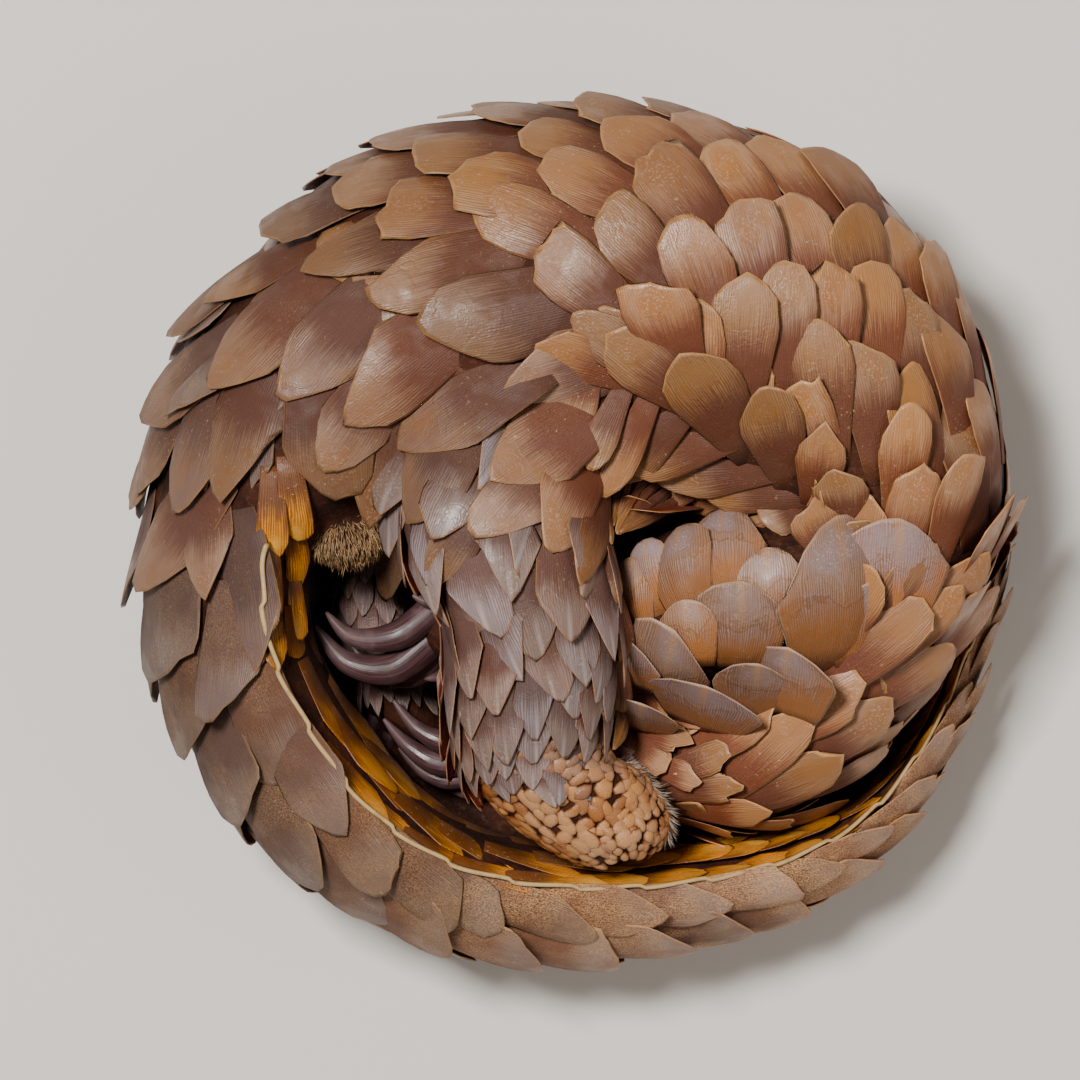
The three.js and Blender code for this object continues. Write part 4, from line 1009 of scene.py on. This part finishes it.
bellyRows = {"from": 15.6, "to": 28.6, "turn": ([0, 29], [22, 22]), "middle": 119, "below": 0, "above": 4,
             "least": 8, "reference": 130, "spacing": ([15.6, 19, 22, 25, 28.6], [23, 23, 21, 17, 12])}
spot = formLattice(bodyTable, bellyRows)
clear = formPoint(bodyTable, spot["place"], spot["angle"])[:, 2] > 6
spot = picked(spot, clear & ((spot["place"] > 18.8) | (spot["column"] > 0)))
bellySpots = placeScales(
    bodyTable, spot["place"], spot["angle"], spot["gap"] * 1.9, spot["pitch"] * 0.6, spot["heading"], seed=9,
    rise=2.6, crown=0.09, lift=bellyLift(spot["place"], spot["degrees"]), tipPower=1.7, tipDepth=0.36,
    ragged=0.35, thick=0.7, sink=-1.6)
# painted light: the belly scales are brightened most near 115 degrees, where the steep strip lies in shade
bellySpots["shade"] = np.interp(spot["degrees"], [115, 150, 195], [1.9, 1.7, 1.0])
bellySpots["dust"] = np.full(len(spot["place"]), 0.06)
bellySpots["tone"] = 0.2 + 0.8 * seeded(19).random(len(spot["place"]))
scaleMesh("tailBellyScales", bellySpots, amberHorn, "tailBelly")

# Right hind leg, from the thigh to the ankle
legRows = {"from": -0.4, "to": 5.1, "reference": 90, "spacing": ([-0.4, 1, 3, 5.2], [28, 27, 20, 11]),
           "turn": ([-0.4, 1, 3, 5.2], [31, 29, 26, 20]), "middle": 92,
           "below": 9, "above": 9, "least": 5}
spot = formLattice(hindRightTable, legRows)
spot = picked(spot, (spot["degrees"] > -35) & (spot["degrees"] < 218))
place = spot["place"]
legSpots = placeScales(
    hindRightTable, place, spot["angle"], np.minimum(spot["gap"] * 2.2, 54), spot["pitch"] * 0.62,
    spot["heading"] - 1.0 * (1 - smooth(place, -0.5, 1.7)), seed=6, reach=9.0,
    rise=np.interp(place, [0, 5], [5.5, 2.6]), keel=0.5, tipPower=1.2, tipDepth=0.46, ragged=0.4, crown=0.12,
    thick=np.interp(place, [0, 5], [0.95, 0.55]))
legSpots["tone"] = 0.55 + 0.4 * seeded(21).random(len(place))
legSpots["dust"] = np.full(len(place), 0.12)
legSpots = pressed(keep(legSpots, spot["degrees"] < 176), "hip")
scaleMesh("hindLegScales", legSpots, legHorn, "hindLeg")
print("stage: leg scales", len(place))

# Left legs, low in the hollow
for name, table, rows, box in (
        ("foreLeftScales", foreLeftTable, {"from": 0.3, "to": 4.0, "turn": ([0, 4], [24, 20])}, "foreLeft"),
        ("hindLeftScales", hindLeftTable, {"from": 0.3, "to": 4.6, "turn": ([0, 5], [24, 20])}, "hindLeft")):
    rows = {**rows, "reference": 90, "spacing": ([0, 5], [15, 9]), "middle": 40,
            "below": 7, "above": 7, "least": 5}
    spot = formLattice(table, rows)
    tall = formPoint(table, spot["place"], spot["angle"])[:, 2] > 5
    spot = picked(spot, tall & (np.abs(spot["degrees"] - 40) < 130))
    limbSpots = placeScales(table, spot["place"], spot["angle"], spot["gap"] * 1.9, spot["pitch"] * 0.6,
                            spot["heading"], seed=len(name), rise=2.6, keel=0.4, tipPower=1.3, tipDepth=0.42,
                            ragged=0.3, crown=0.12, thick=0.6, reach=7.0)
    limbSpots["tone"] += 0.7
    scaleMesh(name, limbSpots, legHorn, box)

# Head: small scales from the snout back over the crown
headRows = {"from": 0.5, "to": 4.9, "reference": 0, "spacing": ([0, 5], [13, 7]), "turn": ([0, 5], [19, 20]),
            "middle": 0, "below": 6, "above": 6, "least": 3}
spot = formLattice(headTable, headRows)
spot = picked(spot, np.abs(spot["degrees"]) < np.interp(spot["place"], [0, 2, 3.4, 5], [115, 80, 48, 40]))
headSpots = placeScales(
    headTable, spot["place"], spot["angle"], spot["gap"] * 1.8, spot["pitch"] * 0.6, math.pi, seed=14,
    reach=6.0, rise=1.8, tipPower=1.5, tipDepth=0.4, ragged=0.25, crown=0.1, thick=0.45, sink=-0.6)
headSpots["tone"] += 0.5
scaleMesh("headScales", headSpots, legHorn, "head")
print("stage: head and left legs")


# Closed forms of revolution along a path: claws, ridges, rings
def pathTube(path, radii, sides=14, flatten=1.0, closed=False, ridge=0.0):
    # section = radius times (cosine across, flattened sine upward), carried along a smoothed path;
    # upward is whatever of +Z is square to the path
    ahead = np.roll(path, -1, 0) - np.roll(path, 1, 0)
    if not closed:
        ahead[0], ahead[-1] = path[1] - path[0], path[-1] - path[-2]
    ahead = unit(ahead)
    across = unit(np.cross(ahead, np.array([0.0, 0.0, 1.0]) + ahead[:, [2, 0, 1]] * 1e-3))
    upward = np.cross(across, ahead)
    a = np.linspace(0, 2 * math.pi, sides, endpoint=False)
    swell = 1 + ridge * np.exp(-((a - math.pi / 2) / 0.45) ** 2)
    ring = (across[:, None] * (np.cos(a) * swell)[None, :, None]
            + upward[:, None] * (np.sin(a) * swell * flatten)[None, :, None])
    points = path[:, None] + ring * np.asarray(radii)[:, None, None]
    rings = len(path)
    run = np.repeat(np.linspace(0, 1, rings), sides)
    around = np.tile(a / (2 * math.pi), rings)
    middle = points[0].mean(0)
    points = points.reshape(-1, 3)
    if not closed:
        points = np.concatenate([points, path[:1], path[-1:]])
        run, around = np.append(run, [0, 1]), np.append(around, [0, 0])
    return points, facedOut(points, tubeFaces(rings, sides, closed), middle), around, run


def smoothPath(points, count):
    # Catmull-Rom through the points
    table = np.asarray(points, float)
    return blendStations(table, np.linspace(0, len(table) - 1, count))


# Claws
clawSet = {"rings": 26, "sides": 16, "flatten": 0.86, "ridge": 0.1}
foreClaws = {  # middle line from root to tip, and radii along it
    "right_1": ([(-44, -22, 98), (-56, -25, 103), (-64, -22, 105)], (3.8, 2.8, 0.6)),
    "right_2": ([(-54, -26, 93), (-70, -38, 95), (-88, -39, 92), (-99, -29, 90)], (6.6, 6, 3.8, 0.6)),
    "right_3": ([(-54, -36, 86), (-72, -51, 84), (-91, -49, 82), (-104, -34, 83)], (8, 7.2, 4.6, 0.7)),
    "right_4": ([(-52, -41, 77), (-64, -54, 70), (-79, -53, 67), (-90, -42, 68)], (6.2, 5.6, 3.4, 0.6)),
    "right_5": ([(-44, -45, 79), (-52, -54, 76), (-60, -56, 74)], (3.8, 2.8, 0.6)),
    "left_1": ([(-36, -80, 50), (-46, -76, 59), (-54, -70, 62)], (3.6, 2.8, 0.6)),
    "left_2": ([(-41, -84, 49), (-53, -82, 54), (-64, -76, 54), (-73, -65, 56)], (5.2, 4.8, 3, 0.6)),
    "left_3": ([(-42, -90, 44), (-55, -91, 45), (-67, -84, 45), (-77, -73, 48)], (6, 5.4, 3.4, 0.6)),
    "left_4": ([(-40, -95, 38), (-51, -98, 37), (-62, -94, 37), (-71, -85, 39)], (5, 4.4, 2.8, 0.6)),
    "left_5": ([(-33, -98, 31), (-42, -104, 27), (-50, -103, 25)], (3.6, 2.8, 0.6)),
}
nailSet = {"length": 13, "radius": 4.2, "arch": 5, "drop": 4, "count": 5}
nailRoots = {"right": ((4, -118, 112), (32, -110, 114), (-0.15, -1, -0.75), (0.75, -0.45, -0.75), -1.0),
             "left": ((-81, -73, 12), (-54, -70, 12), (-0.4, -1, -0.05), (0.75, -0.6, -0.05), -0.15)}


def hindNails():
    # five nails in an arch between the first and the last, each bent down towards its tip
    made = {}
    for side, (firstRoot, lastRoot, firstWay, lastWay, fall) in nailRoots.items():
        for nail in range(nailSet["count"]):
            share = nail / (nailSet["count"] - 1)
            rootPoint = np.array(firstRoot) * (1 - share) + np.array(lastRoot) * share
            way = unit(np.array(firstWay) * (1 - share) + np.array(lastWay) * share)
            rootPoint = rootPoint + way * nailSet["arch"] * math.sin(share * math.pi)
            size = 0.82 + 0.18 * math.sin(share * math.pi)
            at = lambda run, drop: (rootPoint + way * nailSet["length"] * run * size
                                    + np.array([0, 0, fall]) * nailSet["drop"] * drop)
            radius = nailSet["radius"] * size
            made[f"claw_hind_{side}_{nail + 1}"] = ([at(0, 0), at(0.55, 0.3), at(1, 1)],
                                                    (radius, radius * 0.85, 0.8))
    return made


def clawMaterial():
    # mauve-grey horn, darker at the root, with fine streaks along it and a wet gloss
    material, tree, shader = newMaterial("clawHorn")
    stretch = node(tree, "ShaderNodeMapping")
    stretch.inputs["Scale"].default_value = (38, 2.0, 1)
    fill(stretch.inputs["Vector"], shapeOf(tree))
    streak, cloud = noiseOf(stretch.outputs[0], 1.0), noiseOf(objectOf(tree), 90.0)
    base = layered(
        mixColour(rangeOf(streak, 0.35, 0.65), (0.038, 0.015, 0.016), (0.085, 0.04, 0.042)),
        (rangeOf(valueOf(tree, "run"), 0.45, 1.0, 0.0, 0.5), (0.15, 0.09, 0.088)),
        (rangeOf(cloud, 0.5, 0.7, 0.0, 0.5), (0.14, 0.075, 0.075)))
    surface(shader, base, rangeOf(cloud, 0.35, 0.65, 0.3, 0.58), 0.6, streak, 0.35)
    return material


clawHorn = clawMaterial()
foreHorn = {f"claw_fore_{key}": shape for key, shape in foreClaws.items()}
for name, (line, radii) in {**foreHorn, **hindNails()}.items():
    run = np.linspace(0, 1, clawSet["rings"])
    radius = np.interp(run, np.linspace(0, 1, len(radii)), radii)
    points, tris, around, run = pathTube(smoothPath(line, clawSet["rings"]), radius, clawSet["sides"],
                                         clawSet["flatten"], ridge=clawSet["ridge"])
    piece = addMesh("horn" + name[4:], points, tris, clawHorn, np.stack([around, run], -1),
                    values={"run": run})
    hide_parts(name)
print("stage: claws")


# Closed forms round a middle
def eggMesh(middle, radii, rings=24, sides=32):
    # grid of latitude and longitude
    lat = np.linspace(0.04, math.pi - 0.04, rings)[:, None]
    lon = np.linspace(0, 2 * math.pi, sides, endpoint=False)[None, :]
    points = np.stack(np.broadcast_arrays(
        np.sin(lat) * np.cos(lon), np.sin(lat) * np.sin(lon), np.cos(lat)), -1)
    return closeGrid(np.array(middle) + points * np.array(radii))


def closeGrid(points):
    # rings closed round, and both ends drawn to a middle point
    ends = np.stack([points[0].mean(0), points[-1].mean(0)])
    tris = tubeFaces(*points.shape[:2])
    flat = np.concatenate([points.reshape(-1, 3), ends])
    faces = np.cross(flat[tris[:, 1]] - flat[tris[:, 0]], flat[tris[:, 2]] - flat[tris[:, 0]])
    volume = np.sum(faces * (flat[tris[:, 0]] - flat.mean(0)))
    return flat, (tris if volume > 0 else tris[:, ::-1])


def plainMaterial(name, colour, rough):
    # one colour, broken a little by a fine noise
    material, tree, shader = newMaterial(name)
    cloud = rangeOf(noiseOf(objectOf(tree), 700.0), 0.35, 0.65)
    surface(shader, mixColour(cloud, colour, tuple(part * 0.6 for part in colour)), rough)
    return material


# Eyes, set deep, in the middle of the solids' own
eyeDark = plainMaterial("eyeDark", (0.012, 0.007, 0.005), 0.06)
for side in ("left", "right"):
    low, high = (np.array(corner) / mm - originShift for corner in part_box(f"eye_{side}"))
    points, tris = eggMesh((low + high) / 2, (high - low) / 2)
    ball = addMesh(f"eyeball_{side}", points, tris, eyeDark)
    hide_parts(f"eye_{side}")

# Lids, ear rims, nostrils and mouth line: closed rings laid on the head, by place and angle from the crown
faceHide = plainMaterial("faceHide", (0.19, 0.1, 0.075), 0.5)
faceDark = plainMaterial("faceDark", (0.03, 0.012, 0.009), 0.4)
ringPoints = 36
faceSet = {  # place, angle in degrees, half sizes along and round the head, tube's radius and lift in mm
    "lids": {"place": 2.8, "angle": 62, "along": 4.3, "round": 2.9, "tube": 1.15, "lift": 0.7},
    "ears": {"place": 1.45, "angle": 72, "along": 7.0, "round": 4.4, "tube": 1.4, "lift": 0.8},
    "nostrils": {"place": 5.9, "angle": 28, "along": 1.7, "round": 1.1, "tube": 0.55, "lift": 0.4},
}
for name, values in faceSet.items():
    for side, sign in (("left", -1), ("right", 1)):
        origin, dPlace, dAngle, normal = formFrame(headTable, np.array([values["place"]]),
                                                   np.array([values["angle"] * sign * rad]))
        around = np.linspace(0, 2 * math.pi, ringPoints, endpoint=False)[:, None]
        path = (origin + normal * values["lift"] + unit(dPlace) * np.cos(around) * values["along"]
                + unit(np.cross(normal, dPlace)) * np.sin(around) * values["round"])
        points, tris, _, _ = pathTube(path, np.full(ringPoints, values["tube"]), 10, closed=True)
        addMesh(f"{name}_{side}", points, tris, faceHide)
        if name != "lids":
            pit, pitTris = eggMesh(origin[0] - normal[0] * values["tube"] * 0.3,
                                   np.full(3, values["round"] * 0.72), 12, 16)
            addMesh(f"{name}Pit_{side}", pit, pitTris, faceDark)
mouthSet = {"from": 4.3, "to": 5.85, "angle": 142, "tube": 0.7, "points": 20}
mouthPlace = np.linspace(mouthSet["from"], mouthSet["to"], mouthSet["points"])
mouthPlace = np.concatenate([mouthPlace, mouthPlace[::-1]])
mouthAngle = np.repeat([mouthSet["angle"], 360 - mouthSet["angle"]], mouthSet["points"]) * rad
mouthPath = formPoint(headTable, mouthPlace, mouthAngle, 0.1)
points, tris, _, _ = pathTube(mouthPath, full(mouthSet["tube"], len(mouthPath)), 8)
addMesh("mouthLine", points, tris, faceDark)
print("stage: eyes and face")


# Granular skin and fur
def domes(name, spots, material, box):
    # each is a half egg: rings of radius and height, from under the skin to a rounded top
    sides = 8
    profile = np.array([(0.86, -0.45), (1.0, 0.0), (0.86, 0.45), (0.52, 0.82)])
    ends = np.array([profile[0, 1], 1.0])
    a = np.linspace(0, 2 * math.pi, sides, endpoint=False)
    n = len(spots["half"])
    draw = seeded(spots["seed"])
    dent = 1 + draw.normal(0, 0.11, (n, 1, sides))
    part = lambda key: spots[key][:, None, None, :]
    size = lambda key: spots[key][:, None, None, None]
    radius, high = profile[None, :, 0, None, None], profile[None, :, 1, None, None]
    points = (part("origin") + part("outward") * high * size("rise")
              + part("along") * (np.cos(a)[None, None, :, None] * radius * size("length") * dent[..., None])
              + part("across") * (np.sin(a)[None, None, :, None] * radius * size("half") * dent[..., None]))
    middles = (spots["origin"][:, None]
               + ends[None, :, None] * spots["outward"][:, None] * spots["rise"][:, None, None])
    points = np.concatenate([points.reshape(n, -1, 3), middles], 1)
    perOne = points.shape[1]
    faces = tubeFaces(len(profile), sides)[None] + (np.arange(n) * perOne)[:, None, None]
    small = (np.stack([np.cos(a), np.sin(a)], -1)[None] * profile[:, :1, None]).reshape(-1, 2)
    small = np.concatenate([small, np.zeros((2, 2))]) * bakePatch / 2
    bake = onBake(box, spots["rootUv"])[:, None] + small[None]
    values = {"seed": np.repeat(draw.random(n), perOne), "tone": np.repeat(spots["tone"], perOne),
              "high": np.tile(np.concatenate([np.repeat(profile[:, 1], sides), ends]), n)}
    return addMesh(name, points, faces.reshape(-1, 3), material, bake, bake, values)


def tufts(name, root, lie, outward, length, width, material, box, seed, lift=0.35, curl=0.25):
    # each tuft is a three-sided spike: its middle line leans from the outward way into the lie and droops
    draw = seeded(seed)
    n = len(root)
    steps = np.array([0.0, 0.35, 0.7])
    lie = unit(lie + draw.normal(0, 0.22, (n, 3)))
    way = unit(lie + outward * lift)
    long = (length * draw.uniform(0.7, 1.25, n))[:, None, None]
    line = (root[:, None] - outward[:, None] * 0.8 + way[:, None] * steps[None, :, None] * long
            - outward[:, None] * (curl * steps[None, :, None] ** 2 * long))
    tip = root + way * long[:, 0] - outward * curl * long[:, 0] * 0.9
    sideways = unit(np.cross(lie, outward))
    fat = (width * draw.uniform(0.7, 1.2, n))[:, None, None] * (1 - 0.75 * steps)[None, :, None]
    corners = [sideways[:, None] * fat, -sideways[:, None] * fat, outward[:, None] * fat * 0.8]
    points = np.stack([line + corner for corner in corners], 2).reshape(n, -1, 3)
    points = np.concatenate([points, tip[:, None]], 1)
    b, c, d, e = gridFaces(len(steps), len(corners))
    tris = np.concatenate([triangles((b, e, d), (b, d, c)), [[6, 7, 9], [7, 8, 9], [8, 6, 9], [1, 0, 2]]])
    perOne = points.shape[1]
    faces = facedOut(points[0], tris, line[0].mean(0))[None] + (np.arange(n) * perOne)[:, None, None]
    extent = np.ptp(root, axis=0) + 1e-6
    at = ((root - root.min(0)) / extent)[:, :2]
    run = np.concatenate([np.repeat(steps, 3), [1.0]])
    bake = onBake(box, at)[:, None] + (np.stack([run * 0.5, run], -1) * bakePatch)[None]
    values = {"seed": np.repeat(draw.random(n), perOne), "run": np.tile(run, n)}
    return addMesh(name, points, faces.reshape(-1, 3), material, bake, bake, values)


def footMaterial():
    # orange-tan granules, darkened towards their feet as painted shade between them, pinkish and grey patches
    # between
    material, tree, shader = newMaterial("footSkin")
    where = objectOf(tree)
    patch, grain = noiseOf(where, 45.0), noiseOf(where, 1300.0, 2.0)
    base = layered(
        mixColour(rangeOf(valueOf(tree, "seed"), 0.1, 0.9), (0.26, 0.085, 0.016), (0.46, 0.2, 0.06)),
        (rangeOf(patch, 0.45, 0.6, 0.0, 0.8), (0.46, 0.23, 0.1)),
        (times(valueOf(tree, "tone"), 0.8), (0.2, 0.12, 0.09)),
        (rangeOf(grain, 0.55, 0.7, 0.0, 0.45), (0.2, 0.08, 0.03)),
        # painted shade: dark at the granules' feet
        (rangeOf(valueOf(tree, "high"), 0.1, 0.75, 0.85, 0.0), (0.09, 0.022, 0.004)))
    surface(shader, base, 0.42, height=grain)
    return material


def furMaterial(name, rootColour, tipColour):
    # from the root's colour to the tip's, lighter or darker by tuft
    material, tree, shader = newMaterial(name)
    shade = mixColour(valueOf(tree, "run"), rootColour, tipColour)
    surface(shader, scaled(shade, rangeOf(valueOf(tree, "seed"), 0.0, 1.0, 0.7, 1.25)), 0.6)
    return material


footSkin = footMaterial()
footRows = {"from": 4.8, "to": 8.95, "reference": 90, "spacing": ([4.8, 7, 9], [4.6, 5.6, 5.0]),
            "turn": ([4.8, 9], [11.5, 12]), "middle": 92, "below": 22, "above": 22, "least": 1.5}
spot = formLattice(hindRightTable, footRows)
draw = seeded(61)
spot = picked(spot, (spot["degrees"] > -60) & (spot["degrees"] < 240))
origin, dPlace, dAngle, normal = formFrame(hindRightTable, spot["place"], spot["angle"])
count = len(origin)
stray = draw.normal(0, 1.1, (count, 2))
pebbleSpots = {
    "origin": origin - normal * 0.5 + unit(dPlace) * stray[:, :1] + unit(dAngle) * stray[:, 1:],
    "along": unit(dPlace), "across": np.cross(normal, unit(dPlace)), "outward": normal,
    "length": spot["ownGap"] * 0.67 * draw.uniform(0.65, 1.45, count),
    "half": spot["pitch"] * 0.67 * draw.uniform(0.65, 1.4, count), "rise": draw.uniform(0.8, 1.8, count),
    "tone": (1 - smooth(spot["place"] + draw.normal(0, 0.4, count), 5.0, 6.6)) * 0.9, "seed": 62,
    "rootUv": np.stack([(spot["place"] - 4.8) / 4.2, (spot["degrees"] + 60) / 300], -1),
}
domes("footGranules", pebbleSpots, footSkin, "foot")

ventSet = {"middle": (-90.0, 2.0, 119.0), "radii": (15.0, 12.0, 13.0), "lie": (0.1, -1.0, -0.25),
           "tufts": 2400}
draw = seeded(71)
way = unit(draw.normal(0, 1, (ventSet["tufts"], 3)))
way = way[way[:, 2] > -0.2]
root = np.array(ventSet["middle"]) + way * np.array(ventSet["radii"])
outward = unit(way / np.array(ventSet["radii"]))
lie = np.array(ventSet["lie"])
lie = lie - outward * np.sum(lie * outward, -1, keepdims=True)
ventFur = furMaterial("ventFur", (0.16, 0.065, 0.02), (0.42, 0.26, 0.12))
tufts("ventTufts", root, lie, outward, 6.5, 0.4, ventFur, "vent", 72)
count = 420
place, angle = draw.uniform(5.4, 8.3, count), draw.uniform(165, 235, count) * rad
origin, dPlace, dAngle, normal = formFrame(hindRightTable, place, angle)
ankleFur = furMaterial("ankleFur", (0.2, 0.12, 0.08), (0.5, 0.42, 0.34))
tufts("ankleTufts", origin, unit(dPlace) * 0.7 + normal * 0.3, normal, 7.5, 0.45, ankleFur,
      "ankle", 73)
print("stage: foot and fur")

# Pale rim of the tail, with a tooth at the end of every scale
rimSet = {"from": 16.3, "to": 28.5, "sections": 420, "tooth": 27.0, "teeth": 1.5, "wide": 0.95, "deep": 9.0,
          "tall": 1.4, "lift": 3.6, "in": 4.0}
place = np.linspace(rimSet["from"], rimSet["to"], rimSet["sections"])
origin, dPlace, dAngle, normal = formFrame(bodyTable, place, np.full(len(place), math.pi / 2))
run = np.concatenate([[0], np.cumsum(np.linalg.norm(np.diff(origin, axis=0), axis=1))])
size = np.interp(place, [16.3, 25, 28.5], [1, 0.8, 0.4])
tooth = (run / rimSet["tooth"]) % 1.0
inwards = unit(dAngle)
shift = rimSet["teeth"] * (smooth(tooth, 0.0, 0.86) * (1 - smooth(tooth, 0.9, 1.0)) - 0.2) * size
lift = rimSet["lift"] * size * (1 + 0.8 * (1 - smooth(place, 17.2, 18.6)))
origin = origin + normal * lift[:, None] + inwards * (rimSet["in"] * size)[:, None]
top = origin + inwards * shift[:, None]
corners = np.array([(-1.0, -1.0), (-1.0, 0.6), (-0.5, 1.0), (0.5, 1.0), (1.0, 0.6), (1.0, -1.0)])
wide = rimSet["wide"] * size
high = np.where(corners[None, :, 1] < 0, -rimSet["deep"],
                corners[None, :, 1] * (rimSet["tall"] + 0.8 * tooth[:, None])) * size[:, None]
lean = np.where(corners[None, :, 1] < 0, 0.4, 1.0)
points = (origin[:, None] + (top - origin)[:, None] * lean[..., None]
          + inwards[:, None] * (corners[None, :, 0] * wide[:, None])[..., None]
          + normal[:, None] * high[..., None])
sections, ring = len(place), len(corners)
b, c, d, e = gridFaces(sections, ring)
fan = np.stack([np.zeros(ring - 2, int), np.arange(1, ring - 1), np.arange(2, ring)], -1)
tris = np.concatenate([triangles((b, c, d), (b, d, e)), fan, fan[:, ::-1] + (sections - 1) * ring])
flat = points.reshape(-1, 3)
tris = facedOut(flat, tris, points[0].mean(0))


def rimMaterial():
    # cream on top, amber below, with faint dirt
    material, tree, shader = newMaterial("rimHorn")
    base = mixColour(valueOf(tree, "top"), (0.3, 0.11, 0.015), (0.48, 0.32, 0.14))
    dirt = rangeOf(noiseOf(objectOf(tree), 220.0), 0.5, 0.7, 0.0, 0.6)
    surface(shader, mixColour(dirt, base, (0.3, 0.17, 0.07)), 0.35)
    return material


rimBake = np.stack([np.tile(0.8 + 0.1 * np.arange(ring) / ring, sections), np.repeat(place / 29, ring)], -1)
addMesh("tailRim", flat, tris, rimMaterial(), rimBake, rimBake,
        {"top": np.tile(np.clip(corners[:, 1] + 0.4, 0, 1), sections)})
print("stage: tail rim")


# Skin: all long forms as closed tubes, with the vent and two dark folds of skin on the ground, painted shade
# that fills the coil's hollow and the space under the neck, remeshed into one
def tubeMesh(table, fromPlace, toPlace, rings, sides, lift):
    # grid of place and angle; the lift is a number, or a function of both in degrees
    places = np.linspace(fromPlace, toPlace, rings)[:, None]
    angles = np.linspace(0, 2 * math.pi, sides, endpoint=False)[None, :]
    return closeGrid(formPoint(table, places, angles, lift(places, angles / rad) if callable(lift) else lift))


def hideMaterial():
    # dark red-brown skin, creased and mottled, paler where it stands proud
    material, tree, shader = newMaterial("hide")
    where = objectOf(tree)
    cloud, crease = noiseOf(where, 60.0, 4.0), noiseOf(where, 340.0, 4.0, 0.65)
    base = mixColour(rangeOf(cloud, 0.35, 0.65), (0.016, 0.003, 0.001), (0.05, 0.012, 0.004))
    base = mixColour(rangeOf(crease, 0.5, 0.7, 0.0, 0.4), base, (0.11, 0.035, 0.012))
    surface(shader, base, rangeOf(crease, 0.3, 0.7, 0.9, 0.65), 0.25, crease, 0.6, 0.0015)
    return material


skinSet = {"voxel": 0.0026,  # in metres; the dark shade folds' middles and radii are in mm
           "shadeFoldMiddle": (12.0, -50.0, 3.0), "shadeFoldRadii": (124.0, 84.0, 16.0),
           "neckShadeFoldMiddle": (84.0, -54.0, 4.0), "neckShadeFoldRadii": (76.0, 66.0, 22.0)}
skinForms = (  # table, first and last place, rings, sides, lift in mm
    (bodyTable, 0, 29, 240, 72, -1.2),
    (bodyTable, 15.5, 28.6, 150, 72, lambda place, degrees: bellyLift(place, degrees) - 1.2),
    (headTable, 0, 6, 60, 40, -0.6),
    (hindRightTable, 0, 9, 90, 40, -1.0), (foreRightTable, 0, 9, 90, 40, -1.0),
    (foreLeftTable, 0, 7, 70, 32, -0.8), (hindLeftTable, 0, 7, 70, 32, -0.8),
)
# painted shade: two dark egg-shaped folds of skin on the floor darken the coil's hollow and the space under
# the neck
parts = [tubeMesh(*form) for form in skinForms] + [
    eggMesh(ventSet["middle"], ventSet["radii"]), eggMesh(skinSet["shadeFoldMiddle"], skinSet["shadeFoldRadii"]),
    eggMesh(skinSet["neckShadeFoldMiddle"], skinSet["neckShadeFoldRadii"])]
offsets = np.cumsum([0] + [len(points) for points, tris in parts])
skin = addMesh("skin", np.concatenate([points for points, tris in parts]),
               np.concatenate([tris + offset for (points, tris), offset in zip(parts, offsets)]),
               hideMaterial())
remesh = skin.modifiers.new("oneSkin", "REMESH")
remesh.mode = "VOXEL"
remesh.voxel_size = skinSet["voxel"]
remesh.use_smooth_shade = True
merged = bpy.data.meshes.new_from_object(skin.evaluated_get(bpy.context.evaluated_depsgraph_get()))
skin.modifiers.clear()
skin.data = merged
place = np.zeros(len(merged.vertices) * 3, np.float32)
merged.vertices.foreach_get("co", place)
place = place.reshape(-1, 3)
place[:, 2] = np.maximum(place[:, 2], floorGap * mm)
merged.vertices.foreach_set("co", place.ravel())
merged.update()
fleshNodes = [name for name in nodeNames if not name.startswith(("claw_", "eye_"))]
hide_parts(*fleshNodes)
print("stage: skin", len(merged.polygons), "faces")

# Floor and light
floorSet = {"half": 3, "colour": (0.72, 0.69, 0.65), "rough": 0.8}
floorMesh = bpy.data.meshes.new("floor")
floorMesh.from_pydata([(x * floorSet["half"], y * floorSet["half"], 0)
                       for x, y in ((-1, -1), (1, -1), (1, 1), (-1, 1))], [], [(0, 1, 2, 3)])
floorMaterial, floorTree, floorShader = newMaterial("floor")
surface(floorShader, floorSet["colour"], floorSet["rough"])
floorMesh.materials.append(floorMaterial)
floor = bpy.data.objects.new("floor", floorMesh)
bpy.context.scene.collection.objects.link(floor)
lightAim = (0, 0, 0.1)
lights = {  # place, side in metres, power in watts, colour
    "keyLight": ((-0.6, 0.45, 2.4), 0.42, 88, (1.0, 0.98, 0.95)),
    "fillLight": ((1.6, -0.6, 1.8), 1.6, 14, (1.0, 0.95, 0.9)),
}
for name, (spot, size, power, colour) in lights.items():
    data = bpy.data.lights.new(name, "AREA")
    data.size, data.energy, data.color = size, power, colour
    light = bpy.data.objects.new(name, data)
    bpy.context.scene.collection.objects.link(light)
    light.location = spot
    light.rotation_euler = (Vector(lightAim) - Vector(spot)).to_track_quat("-Z", "Y").to_euler()
worldSet = {"colour": (1.0, 0.92, 0.84), "strength": 0.2}
world = bpy.data.worlds.new("world")
world.use_nodes = True
background = world.node_tree.nodes["Background"].inputs
fill(background[0], worldSet["colour"])
fill(background[1], worldSet["strength"])
bpy.context.scene.world = world
print("stage: light set")
